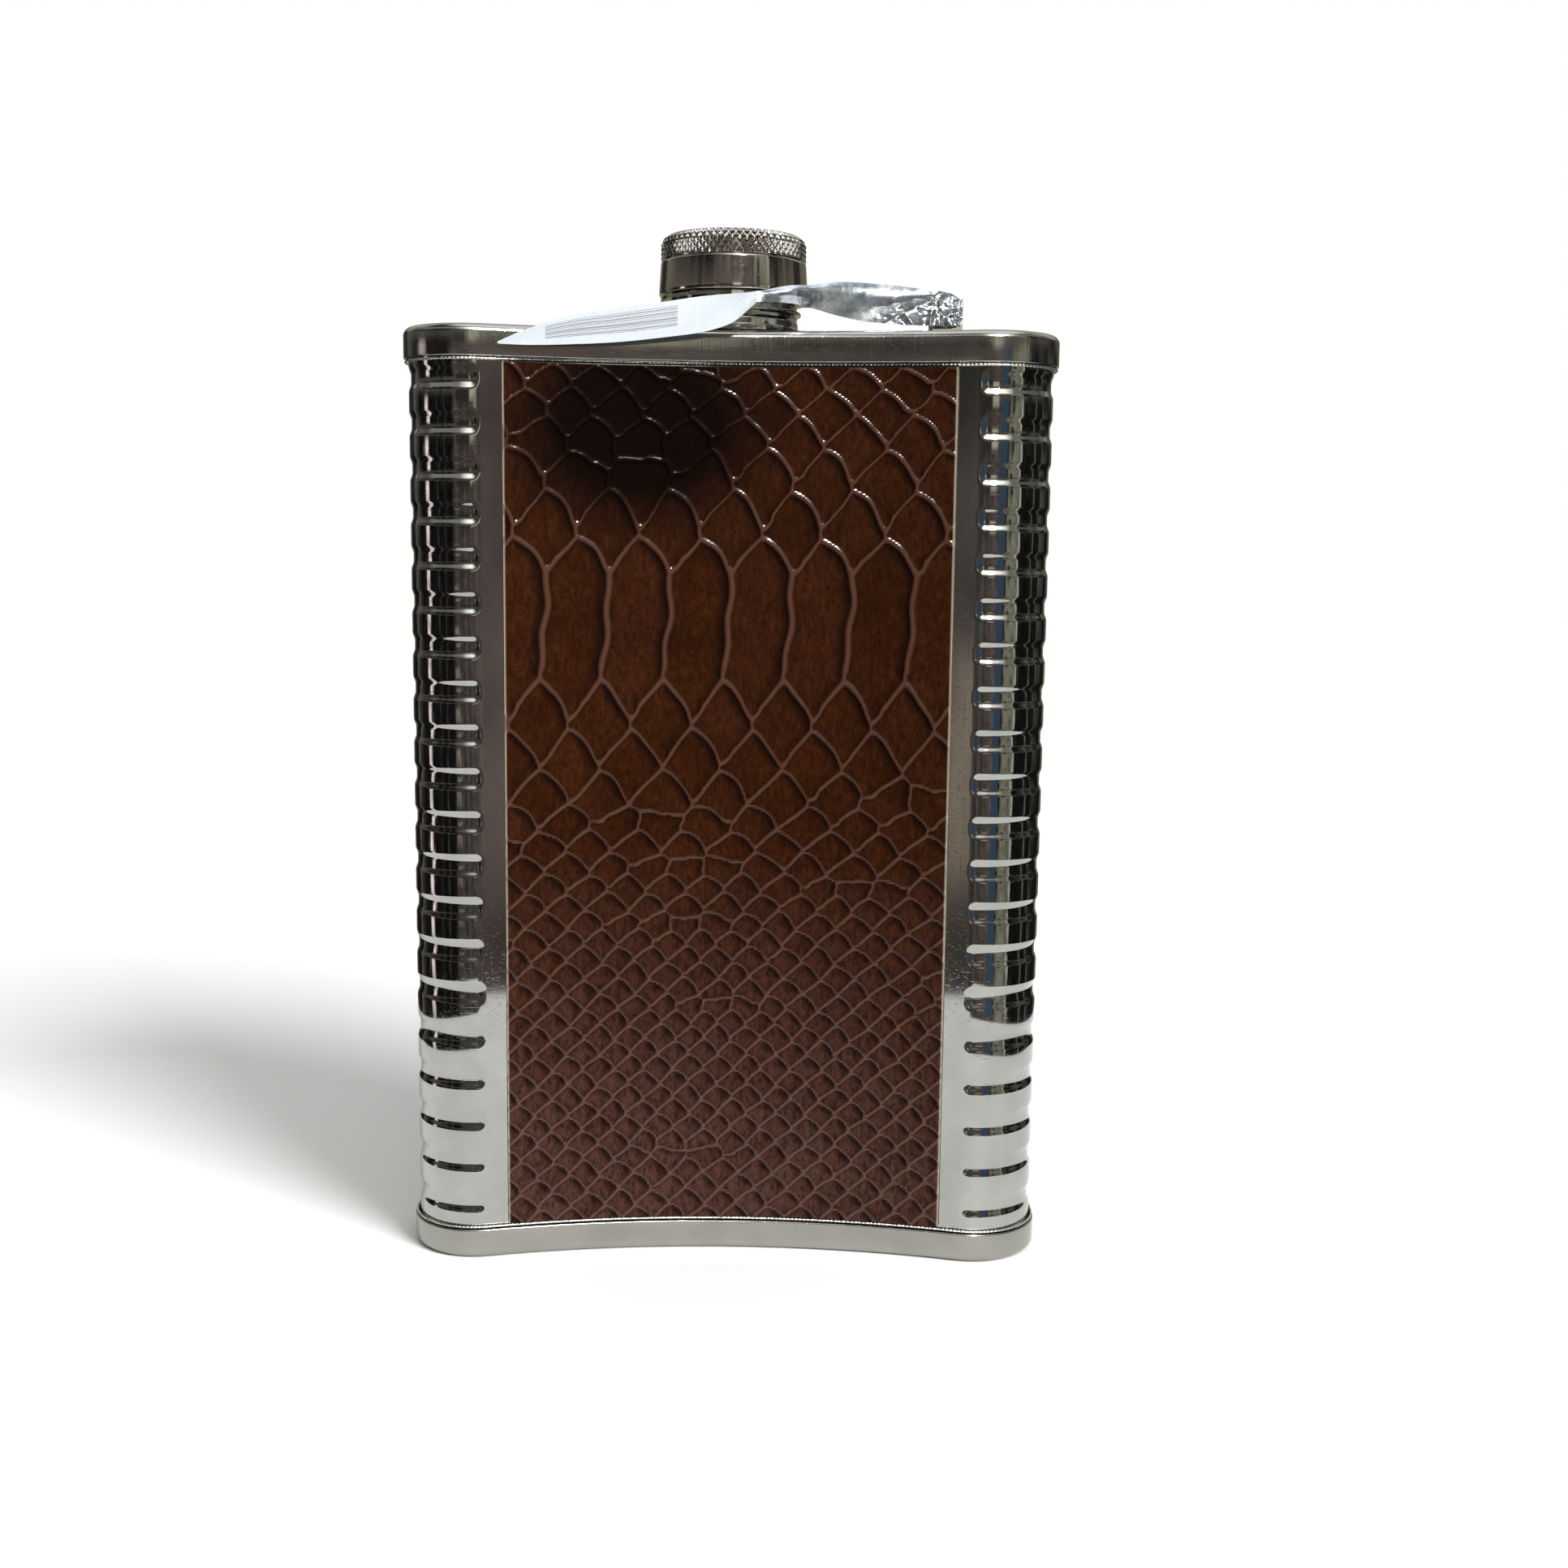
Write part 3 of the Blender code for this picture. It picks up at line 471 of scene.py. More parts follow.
def make_leather(name, node, side, mat, seed, spacing):
    """Embossed panel on the front (side -1) or back (side 1); the relief is in the mesh."""
    low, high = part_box(node)
    half = high.x
    columns = int(2 * half / spacing) | 1
    lines = int((high.z - low.z) / spacing)
    x = np.linspace(-half, half, columns)
    z = np.linspace(high.z, low.z, lines)
    across, depth = np.meshgrid(x / MM, (high.z - z) / MM)
    gap, tone = ridge_field(across, depth, half / MM, (high.z - low.z) / MM, seed)
    slope, slope_x, slope_z = crest_slope(gap, (x[1] - x[0]) / MM, (z[0] - z[1]) / MM)
    distance = gap / np.clip(slope, 0.03, None)
    width = at_depth(RIDGE_WIDTHS, depth)
    rising = np.clip(3 * slope_x * slope_z / (slope ** 2 + 1e-9), -1, 1)
    width = width * (1 + 0.14 * rising * ease(50.0, 62.0, depth))
    width = width * (1 - 0.35 * np.clip(rising, 0, 1) * (1 - ease(20.0, 30.0, depth)))
    ridge = np.clip(1 - (distance / width) ** 2, 0, 1) ** 1.25
    uneven = 1 + 0.10 * np.sin(1.7 * across + 2.3 * depth) * np.cos(1.1 * depth - 0.8 * across)
    tall = np.clip((0.10 + 0.36 * width) * uneven, 0, RELIEF / MM)
    dome = 0.05 * ease(0.0, 0.30, gap)
    relief = np.minimum((tall * ridge + dome) * MM, RELIEF)
    edge = np.minimum(half / MM - np.abs(across), 9.0)
    turned = 0.06 * MM * (1 - ease(0.0, 0.5, edge))
    offset = PANEL_PROUD - RELIEF + relief - turned
    centre_y, bend = (SECTION.front_y, FRONT_RADIUS) if side < 0 else (SECTION.back_y, BACK_RADIUS)
    radius = bend + side * offset
    angle = np.arcsin(across * MM / bend)
    points = np.stack([radius * np.sin(angle), centre_y + radius * np.cos(angle),
                       np.repeat(z[:, None], columns, 1)], -1)
    inner = bend + side * (PANEL_PROUD - PANEL_THICKNESS)
    rim = inner * np.sin(angle[0]), centre_y + inner * np.cos(angle[0])
    back = [ring(*rim, level) for level in (high.z, low.z)]
    faces = grid_faces(lines, columns)
    top, bottom = lines * columns, (lines + 1) * columns
    foot = (lines - 1) * columns
    faces += [[j + 1, j, top + j, top + j + 1] for j in range(columns - 1)]
    faces += [[foot + j, foot + j + 1, bottom + j + 1, bottom + j] for j in range(columns - 1)]
    faces += [[top + j + 1, top + j, bottom + j, bottom + j + 1] for j in range(columns - 1)]
    faces.append([i * columns for i in range(lines)] + [bottom, top])
    faces.append([i * columns + columns - 1 for i in reversed(range(lines))]
                 + [top + columns - 1, bottom + columns - 1])
    if side < 0:
        faces = [f[::-1] for f in faces]
    every = np.concatenate([points.reshape(-1, 3), *back])
    piece = add_piece(name, every, faces, mat, "flask", "leather", [node], sharp=80)
    # Painted shade: darker beside every ridge, and darker still on the flanks that face away from the
    # light.
    shaded = np.clip((0.45 * slope_z - 0.89 * slope_x) / (slope + 1e-9), 0, 1)
    painted_ridge_shade = 0.4 * (1 - ease(0.6 * width, 1.1 * width + 0.4, distance))
    painted_ridge_shade = np.maximum(painted_ridge_shade, shaded * (1 - ease(0.9 * width, width + 1.5, distance)))
    cut_edge = 1 - ease(0.10, 0.26, edge)
    for label, values, behind in (("ridge", ridge, 0.0), ("scale_tone", tone, 0.0),
                                  ("painted_ridge_shade", painted_ridge_shade, 0.0), ("cut_edge", cut_edge, 1.0)):
        point_attribute(piece, label, np.append(values.ravel(), np.full(2 * columns, behind)))


# ---- turned parts

def lathe(name, profile, *finish):
    """Closed (radius, height) profile turned about the neck's axis."""
    steps = 128
    angles = turns(steps)
    bm = bmesh.new()
    rings = [[bm.verts.new(p) for p in circle(radius, z, angles)] for radius, z in profile]
    for one, two in zip(rings, rings[1:] + rings[:1]):
        for j in range(steps):
            k = (j + 1) % steps
            bm.faces.new((one[j], one[k], two[k], two[j]))
    finish_piece(name, mesh_from(name, bm), *finish, sharp=35)


def make_neck_collar(mat):
    low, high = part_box("neck_collar")
    radius = high.x
    step = low.z + 0.8 * MM
    narrow = radius - 0.3 * MM
    soft, hollow, edge = 0.22 * MM, 0.16 * MM, 0.12 * MM
    profile = [(NECK_BORE, high.z)]
    profile += rounded(narrow - soft, high.z - soft, soft, 90, 0)
    profile += rounded(narrow + hollow, step + hollow, hollow, 180, 270)
    profile += rounded(radius - edge, step - edge, edge, 90, 0)
    profile += rounded(radius - edge, low.z + edge, edge, 0, -90)
    profile += [(NECK_BORE, low.z)]
    lathe("collar_of_neck", profile, mat, "flask", "polished_steel", ["neck_collar"])


def make_retainer(mat):
    low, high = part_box("cap_retainer")
    sleeve = 9.4 * MM
    flange = high.x
    flange_top = low.z + 0.4 * MM
    soft = 0.1 * MM
    profile = [(CAP_BORE, high.z), (sleeve - soft, high.z), (sleeve, high.z - soft), (sleeve, flange_top)]
    profile += rounded(flange - soft, flange_top - soft, soft, 90, 0, 4)
    profile += rounded(flange - soft, low.z + soft, soft, 0, -90, 4)
    profile += [(CAP_BORE, low.z)]
    lathe("retainer_sleeve", profile, mat, "retainer", "satin_steel", ["cap_retainer"])


KNURL_TEETH = 60
KNURL_DEPTH = 0.38 * MM


def knurl(angle, z):
    """0 in the grooves to 1 on the points of a diamond knurl whose diamonds are as tall as wide."""
    pitch = 2 * math.pi / KNURL_TEETH
    rise = z / (CAP_FOOT * pitch * 1.15)
    one = np.abs(np.mod(angle / pitch + rise, 1.0) - 0.5) * 2
    two = np.abs(np.mod(angle / pitch - rise, 1.0) - 0.5) * 2
    return np.clip(np.minimum(one, two) * 1.25, 0, 1)


def make_cap(mat):
    radius = CAP_FOOT - 0.25 * MM
    low, top = CAP_LOW.z, CAP_HIGH.z
    shoulder = 1.55 * MM
    crown_z = top - 0.35 * MM
    steps = KNURL_TEETH * 10
    foot = CAP_FOOT - radius
    edge = 0.28 * MM
    groove = radius - 0.42 * MM
    outer = [(CAP_BORE, low), (radius, low)]
    outer += rounded(radius, low + foot, foot, -90, 0, 6)[1:]
    outer += [(CAP_FOOT - 0.01 * MM, low + 0.8 * MM), (radius + 0.01 * MM, KNURL_FOOT - 0.45 * MM)]
    outer += rounded(radius - edge, KNURL_FOOT - edge, edge, 10, 90, 6)
    outer += [(groove, KNURL_FOOT), (groove, KNURL_FOOT + 0.22 * MM)]
    plain = len(outer)
    wall = np.linspace(KNURL_FOOT + 0.24 * MM, crown_z - shoulder, 16)
    outer += [(radius, z) for z in wall]
    outer += rounded(radius - shoulder, crown_z - shoulder, shoulder, 0, 66, 12)[1:]
    knurled = len(outer)
    rim = outer[-1]
    crown = [(rim[0] - 0.25 * MM, rim[1] + 0.04 * MM), (radius * 0.72, top - 0.16 * MM),
             (radius * 0.4, top - 0.04 * MM)]
    angles = turns(steps)
    rows = []
    for i, (r, z) in enumerate(outer + crown):
        sink = 0.0
        if plain <= i < knurled:
            start = float(ease(0.2 * MM, 0.4 * MM, z - KNURL_FOOT))
            end = 1 - float(ease(0.86, 1.0, (i - plain) / (knurled - plain)))
            sink = KNURL_DEPTH * (1 - knurl(angles, z)) * start * end
        rows.append(circle(r - sink, z, angles))
    faces = grid_faces(len(rows), steps, wrap=True)
    centre = len(rows) * steps
    last, inner = centre - steps, centre + 1
    faces += [[last + j, last + (j + 1) % steps, centre] for j in range(steps)]
    faces += [[(j + 1) % steps, j, inner + j, inner + (j + 1) % steps] for j in range(steps)]
    faces.append([inner + j for j in range(steps)][::-1])
    points = np.concatenate([*rows, [(0.0, CAP_Y, top)], circle(CAP_BORE, CAP_CEILING, angles)])
    add_piece("knurled_cap", points, faces, mat, "cap", "polished_steel", ["cap_shell"], sharp=38)


# ---- label

# Label and film by stations: x, y, low z, lean of the top edge and high z, in mm
LABEL = [(-32.5, -13.5, 133.6, 0.0, 133.9), (-28.0, -13.3, 133.5, 0.5, 135.9),
         (-22.0, -13.0, 133.7, 1.0, 137.8), (-16.0, -12.6, 134.1, 1.2, 138.8),
         (-10.0, -12.2, 134.8, 1.2, 139.8), (-4.0, -11.8, 135.7, 1.2, 140.8),
         (0.0, -11.5, 137.0, 1.0, 141.2), (2.4, -11.3, 138.9, 0.6, 141.4), (3.6, -11.1, 140.0, 0.4, 141.6)]
TAIL = [(3.4, -10.9, 140.1, 0.4, 141.5), (8.0, -9.8, 140.1, 0.4, 142.5), (11.5, -7.8, 139.7, 0.4, 142.9),
        (15.0, -5.9, 139.0, 0.3, 143.6), (19.0, -4.6, 138.4, 0.2, 143.7), (24.0, -3.9, 138.1, 0.1, 143.4),
        (29.0, -3.6, 138.0, 0.0, 142.9), (31.6, -3.5, 138.0, 0.0, 142.6), (33.4, -3.2, 138.3, 0.0, 141.6)]


def smooth_line(stations, count):
    """Smooth values through the stations, one column for each value, at even parameters."""
    known = np.array(stations, float)
    t = np.linspace(0, len(known) - 1, count)
    i = np.clip(t.astype(int), 0, len(known) - 2)
    u = (t - i)[:, None]
    before = known[np.clip(i - 1, 0, None)]
    a, b = known[i], known[i + 1]
    after = known[np.clip(i + 2, None, len(known) - 1)]
    return 0.5 * (2 * a + (b - before) * u + (2 * before - 5 * a + 4 * b - after) * u ** 2
                  + (3 * a - before - 3 * b + after) * u ** 3)


def make_strip(name, node, stations, mat, slot, along, across, thickness, crease):
    """Thin sheet through the stations; crease(t, v) moves it forwards, in mm."""
    line = smooth_line(stations, along)
    t, v = np.meshgrid(np.linspace(0, 1, along), np.linspace(0, 1, across), indexing="ij")
    x = np.repeat(line[:, 0:1], across, 1)
    y = line[:, 1:2] + line[:, 3:4] * v + crease(t, v)
    z = line[:, 2:3] + (line[:, 4:5] - line[:, 2:3]) * v
    front = np.stack([x, y - thickness / 2, z], -1) * MM
    rear = np.stack([x, y + thickness / 2, z], -1) * MM
    faces = grid_faces(along, across)
    count = along * across
    faces += [[v + count for v in f[::-1]] for f in grid_faces(along, across)]
    rim = [i * across for i in range(along)] + [(along - 1) * across + j for j in range(1, across)]
    rim += [i * across + across - 1 for i in reversed(range(along - 1))] + list(range(across - 2, 0, -1))
    faces += [[a, b, b + count, a + count] for a, b in zip(rim, rim[1:] + rim[:1])]
    piece = add_piece(name, np.concatenate([front.reshape(-1, 3), rear.reshape(-1, 3)]), faces, mat,
                      "arm", slot, [node], sharp=60)
    bm = bmesh.new()
    bm.from_mesh(piece.data)
    bmesh.ops.recalc_face_normals(bm, faces=bm.faces)
    bm.to_mesh(piece.data)
    bm.free()
    for label, values in (("along", t), ("across", v)):
        point_attribute(piece, label, np.tile(values.ravel(), 2))


def label_crease(t, v):
    return 0.10 * np.sin(7.0 * t + 2.0 * v) + 0.06 * np.sin(17.0 * t - 3.0 * v)


def make_folds():
    """Straight V-shaped folds of crumpled film: a point, a direction, a depth and a half width, in mm."""
    rng = np.random.default_rng(8)
    folds = []
    for _ in range(46):
        angle = rng.uniform(0, math.pi)
        folds.append((rng.uniform(8, 31), rng.uniform(0, 5), math.cos(angle), math.sin(angle),
                      rng.choice((-1, 1)) * rng.uniform(0.10, 0.24), rng.uniform(0.35, 1.0)))
    return folds


FOLD_LINE = 0.42  # height of the film's long fold, as a share


def film_crease(t, v):
    """Two smooth facets near the label, sharply crumpled towards the hinge."""
    along, up = 30.0 * t, 5.0 * v
    crumple = ease(0.57, 0.76, t + 0.24 * (0.5 - v))
    past = v - FOLD_LINE
    lower = -0.95 * np.clip(v / FOLD_LINE, 0, 1)
    upper = -0.95 + 0.55 * past - 0.35 * np.sin(math.pi * np.clip(past / (1 - FOLD_LINE), 0, 1))
    smooth = np.where(v < FOLD_LINE, lower, upper) * ease(0.0, 0.16, t)
    folded = np.zeros(t.shape)
    for x, y, dx, dy, depth, reach in make_folds():
        away = np.abs((along - x) * dx + (up - y) * dy)
        folded += depth * np.clip(1 - away / reach, 0, 1)
    return smooth * (1 - 0.75 * crumple) + crumple * folded


# ---- materials

class Nodes:
    """Short calls for the nodes of one tree."""

    def __init__(self, tree):
        self.tree = tree

    def feed(self, socket, value):
        """Links another node's socket to this one, or sets a constant; colours come without alpha."""
        if isinstance(value, bpy.types.NodeSocket):
            self.tree.links.new(value, socket)
        elif socket.type == 'RGBA':
            socket.default_value = (*value, 1.0)
        else:
            socket.default_value = value

    def node(self, kind, settings=None, **inputs):
        made = self.tree.nodes.new("ShaderNode" + kind)
        for key, value in (settings or {}).items():
            setattr(made, key, value)
        for key, value in inputs.items():
            self.feed(made.inputs[key.replace("_", " ")], value)
        return made

    def math(self, operation, a, b=0.0, clamp=False):
        made = self.node("Math", {"operation": operation, "use_clamp": clamp})
        for socket, value in zip(made.inputs, (a, b)):
            self.feed(socket, value)
        return made.outputs[0]

    def times(self, a, b, clamp=False):
        return self.math('MULTIPLY', a, b, clamp)

    def minus(self, a, b):
        return self.math('SUBTRACT', a, b)

    def mix(self, factor, a, b, blend='MIX'):
        """Colour a where the factor is 0, b where it is 1."""
        made = self.node("Mix", {"data_type": 'RGBA', "blend_type": blend})
        for index, value in ((0, factor), (6, a), (7, b)):
            self.feed(made.inputs[index], value)
        return made.outputs[2]


class Shader(Nodes):
    """A Principled material."""

    def __init__(self, name, colour, roughness, metallic=0.0):
        self.mat = bpy.data.materials.new(name)
        self.mat.use_nodes = True
        super().__init__(self.mat.node_tree)
        self.out = self.tree.nodes["Principled BSDF"]
        self.set("Base Color", colour)
        self.set("Roughness", roughness)
        self.set("Metallic", metallic)
        self.mat.diffuse_color = (*colour, 1.0)

    def set(self, socket, value):
        self.feed(self.out.inputs[socket], value)

    def place(self, scale=(1.0, 1.0, 1.0), turn=(0.0, 0.0, 0.0)):
        """Position on the part in mm, turned and stretched."""
        coordinates = self.node("TexCoord").outputs["Object"]
        return self.node("Mapping", Vector=coordinates, Rotation=turn,
                         Scale=tuple(1000.0 * s for s in scale)).outputs["Vector"]

    def axis(self, name):
        """X, Y or Z of the position in mm."""
        return self.node("SeparateXYZ", Vector=self.place()).outputs[name]

    def noise(self, vector, scale=1.0, detail=3.0, roughness=0.5):
        return self.node("TexNoise", Vector=vector, Scale=scale, Detail=detail,
                         Roughness=roughness).outputs["Fac"]

    def ramp(self, value, *stops):
        """Colour or grey stops: (position, value)."""
        made = self.node("ValToRGB", Fac=value)
        elements = made.color_ramp.elements
        while len(elements) < len(stops):
            elements.new(0.5)
        for element, (position, colour) in zip(elements, stops):
            element.position = position
            element.color = (*colour, 1.0) if isinstance(colour, tuple) else (colour,) * 3 + (1.0,)
        return made.outputs["Color"]

    def attribute(self, name):
        return self.node("Attribute", {"attribute_name": name}).outputs["Fac"]

    def bump(self, height, depth, strength=1.0, normal=None):
        """Bumps of a depth in mm, over another normal if there is one."""
        made = self.node("Bump", Height=height, Distance=depth * MM, Strength=strength)
        if normal is not None:
            self.feed(made.inputs["Normal"], normal)
        return made.outputs["Normal"]


CLOUD_SIZE = 6.0  # spots where the steel is duller, in mm


def scratched_steel(name, colour, roughness, streak, scratch):
    """Steel with upright polishing streaks and fine handling scratches; depths in mm."""
    steel = Shader(name, colour, roughness, 1.0)
    upright = steel.noise(steel.place((4.5, 4.5, 0.10)), detail=4.0, roughness=0.65)
    hair_a = steel.noise(steel.place((0.10, 6.0, 6.0), (0.35, 0.5, 0.2)), detail=2.0)
    hair_b = steel.noise(steel.place((6.0, 6.0, 0.12), (0.25, -0.6, 0.0)), detail=2.0)
    marks = steel.math('MAXIMUM', steel.ramp(hair_a, (0.62, 0.0), (0.72, 1.0)),
                       steel.ramp(hair_b, (0.64, 0.0), (0.74, 1.0)))
    cloud = steel.noise(steel.place((1 / CLOUD_SIZE,) * 3), detail=3.0)
    worn = steel.math('ADD', steel.times(marks, 0.06), steel.times(cloud, 0.05))
    steel.set("Roughness", steel.math('ADD', worn, roughness))
    dark, light = (tuple(min(1.0, share * c) for c in colour) for share in (0.90, 1.05))
    steel.set("Base Color", steel.ramp(cloud, (0.3, dark), (0.7, light)))
    steel.set("Normal", steel.bump(marks, scratch, normal=steel.bump(upright, streak)))
    return steel.mat


def leather_material():
    leather = Shader("embossed_leather", (0.028, 0.0085, 0.0021), 0.42)
    leather.set("Specular IOR Level", 0.012)
    leather.set("Coat Roughness", 0.17)
    place = leather.place()
    fine = leather.noise(place, 3.2, 5.0, 0.7)
    blotch = leather.noise(place, 0.16, 3.0)
    ridge = leather.attribute("ridge")
    tone = leather.attribute("scale_tone")
    base = leather.ramp(blotch, (0.3, (0.023, 0.0056, 0.0011)), (0.7, (0.037, 0.0100, 0.0022)))
    mottle = leather.noise(leather.place((1.5, 1.5, 0.7)), detail=5.0, roughness=0.8)
    # Painted reflection of the white floor: the leather turns lighter and greyer towards the bottom.
    painted_floor_reflection = leather.ramp(leather.math('DIVIDE', leather.axis("Z"), 100.0), (0.12, 0.8), (0.62, 0.0))
    base = leather.mix(painted_floor_reflection, base, (0.082, 0.041, 0.033))
    base = leather.mix(leather.times(tone, 0.35), base, (0.043, 0.0125, 0.0055))
    base = leather.mix(leather.ramp(mottle, (0.38, 0.75), (0.55, 0.0)), base, (0.010, 0.0032, 0.0012))
    base = leather.mix(leather.ramp(mottle, (0.58, 0.0), (0.74, 0.45)), base, (0.085, 0.036, 0.019))
    # Painted shade beside the ridges, read from the mesh's ridge shade attribute.
    hollow = leather.times(leather.attribute("painted_ridge_shade"), 0.95)
    base = leather.mix(hollow, base, (0.004, 0.0016, 0.0009))
    worn = leather.ramp(ridge, (0.40, 0.0), (0.95, 0.62))
    base = leather.mix(worn, base, (0.110, 0.046, 0.028))
    # Painted shadow: an oval on the front panel darkened almost to black, with its glints dulled as well.
    patch = painted_shadow_oval(leather)
    base = leather.mix(leather.times(patch, 0.95), base, (0.002, 0.0008, 0.0006))
    base = leather.mix(leather.attribute("cut_edge"), base, (0.34, 0.29, 0.22))
    leather.set("Base Color", base)
    outside_painted_shadow = leather.minus(1.0, leather.times(patch, 0.93))
    glossy = leather.times(leather.ramp(ridge, (0.25, 0.0), (0.60, 0.6)), outside_painted_shadow)
    leather.set("Coat Weight", glossy)
    leather.set("Roughness", leather.ramp(ridge, (0.1, 0.55), (0.7, 0.17)))
    pores = leather.node("TexVoronoi", Vector=place, Scale=4.2).outputs["Distance"]
    leather.set("Normal", leather.bump(pores, 0.03, 0.5, leather.bump(fine, 0.06, 0.9)))
    return leather.mat


def painted_shadow_oval(leather):
    """1 inside an oval of painted shadow on the front panel, fading at its rim."""
    middle, reach = (-13.0, 122.5), (23.0, 17.0)
    squares = []
    for axis, at, half in zip("XZ", middle, reach):
        share = leather.math('DIVIDE', leather.minus(leather.axis(axis), at), half)
        squares.append(leather.times(share, share))
    distance = leather.math('SQRT', leather.math('ADD', *squares))
    front = leather.math('LESS_THAN', leather.axis("Y"), 0.0)
    return leather.times(leather.ramp(distance, (0.50, 1.0), (1.0, 0.0)), front)


def weld_material(name, middle_shade):
    """Weld whose part between the leather's edges is darkened by middle_shade, as painted shade from the
    leather's edge.
    """
    weld = Shader(name, (0.60, 0.59, 0.57), 0.22, 1.0)
    place = weld.place()
    across = weld.math('ABSOLUTE', weld.axis("X"))
    share = weld.math('DIVIDE', across, 1000.0 * HALF_WIDTH)
    middle = tuple(middle_shade * c for c in (0.60, 0.59, 0.57))
    weld.set("Base Color", weld.ramp(share, (0.62, middle), (0.70, (0.66, 0.65, 0.62))))
    weld.set("Roughness", weld.ramp(weld.noise(place, 2.0), (0.3, 0.16), (0.7, 0.34)))
    weld.set("Normal", weld.bump(weld.noise(place, 6.0), 0.04))
    return weld.mat


# Middle and half width of the bars, as shares of the label's height
BARS = [(0.28, 0.010), (0.33, 0.020), (0.39, 0.008), (0.44, 0.016), (0.50, 0.026), (0.56, 0.008),
        (0.61, 0.014), (0.67, 0.022), (0.73, 0.009), (0.78, 0.018), (0.84, 0.010)]


def paper_material():
    """Coated label with plain bars in place of print."""
    paper = Shader("label_paper", (0.55, 0.60, 0.65), 0.55)
    along, across = paper.attribute("along"), paper.attribute("across")
    bars = None
    for centre, half in BARS:
        bar = paper.math('LESS_THAN', paper.math('ABSOLUTE', paper.minus(across, centre)), half)
        bars = bar if bars is None else paper.math('MAXIMUM', bars, bar)
    window = paper.math('LESS_THAN', paper.math('ABSOLUTE', paper.minus(along, 0.36)), 0.19)
    ink = paper.times(bars, window)
    fibre = paper.noise(paper.place(), 3.0, 4.0)
    sheet = paper.ramp(fibre, (0.3, (0.40, 0.45, 0.48)), (0.7, (0.455, 0.50, 0.54)))
    ink = paper.times(ink, 0.9)
    paper.set("Base Color", paper.mix(ink, sheet, (0.10, 0.11, 0.16)))
    paper.set("Normal", paper.bump(fibre, 0.02))
    return paper.mat


def film_material():
    film = Shader("glossy_film", (0.62, 0.67, 0.72), 0.16, 0.9)
    place = film.place()
    cloud = film.noise(place, 0.5, 4.0, 0.6)
    film.set("Base Color", film.ramp(cloud, (0.30, (0.34, 0.38, 0.43)), (0.65, (0.66, 0.71, 0.76))))
    film.set("Roughness", film.ramp(cloud, (0.35, 0.12), (0.70, 0.26)))
    film.set("Normal", film.bump(film.noise(place, 0.9), 0.05))
    return film.mat


def plain_material(name, colour, roughness, grain):
    """Soft material with a little cloudiness and a fine surface."""
    made = Shader(name, colour, roughness)
    place = made.place()
    cloud = made.noise(place, 0.4)
    dark, light = (tuple(min(1.0, share * c) for c in colour) for share in (0.88, 1.08))
    made.set("Base Color", made.ramp(cloud, (0.3, dark), (0.7, light)))
    made.set("Normal", made.bump(made.noise(place, 5.0), grain))
    return made.mat


# ---- camera, light and floor

# The camera's place, its turns in degrees and its lens
CAMERA_PLACE = (0.0066, -0.2695, 0.1056)
CAMERA_DOWN, CAMERA_ROLL, CAMERA_YAW = 7.48, 0.70, 0.37
CAMERA_LENS = 41.07


def make_camera():
    """Standing in front and a little above the base, looking slightly down."""
    pitch, roll, yaw = (math.radians(angle) for angle in (CAMERA_DOWN, CAMERA_ROLL, CAMERA_YAW))
    look = Vector((math.sin(yaw) * math.cos(pitch), math.cos(yaw) * math.cos(pitch), -math.sin(pitch)))
    right = Vector((math.cos(yaw), -math.sin(yaw), 0.0))
    up = right.cross(look)
    across = math.cos(roll) * right + math.sin(roll) * up
    above = -math.sin(roll) * right + math.cos(roll) * up
    data = bpy.data.cameras.new("camera")
    data.lens = CAMERA_LENS
    data.sensor_width = 36.0
    data.clip_start = 0.01
    data.clip_end = 20.0
    camera = link_object("camera", data)
    turn = Matrix((across, above, -look)).transposed()
    camera.matrix_world = Matrix.Translation(CAMERA_PLACE) @ turn.to_4x4()
    bpy.context.scene.camera = camera


DIM = (0.014, 0.013, 0.012)  # the room between its patches
CLUTTER = 3.0  # how uneven the low part of the room is
# The room that the steel mirrors: azimuth, elevation, width, height, softness, colour
LOW_ROOM = [(180, 0, 80, 100, 0.30, (0.30, 0.28, 0.21)), (180, 50, 150, 60, 0.30, (0.60, 0.60, 0.55)),
            (0, -8, 64, 90, 0.10, (0.110, 0.095, 0.088)), (14, -8, 32, 90, 0.10, (0.140, 0.108, 0.102)),
            (-25, -7, 9, 9, 0.03, (0.37, 0.30, 0.25)), (45, 0, 27, 90, 0.04, (0.30, 0.29, 0.23)),
            (57, 0, 4, 90, 0.02, (0.65, 0.65, 0.55)), (88, 0, 5, 80, 0.03, (0.17, 0.17, 0.15)),
            (108, 0, 6, 80, 0.03, (0.12, 0.12, 0.11)), (-46, 0, 3, 80, 0.02, (0.08, 0.08, 0.07)),
            (-60, 0, 5, 80, 0.03, (0.06, 0.06, 0.055)), (-84, -15, 9, 42, 0.03, (1.45, 1.22, 1.30)),
            (-120, 0, 10, 80, 0.04, (0.15, 0.15, 0.12))]
WALL_BAND = (0.165, 0.145, 0.120)  # all round at 5 to 15 degrees, mirrored by the cap's band
BAND_FOOT, BAND_TOP = 0.09, 0.27  # sines of the elevations where it starts and ends
BAND_SHARE = 0.85
DARK = (0.03, 0.03, 0.03)
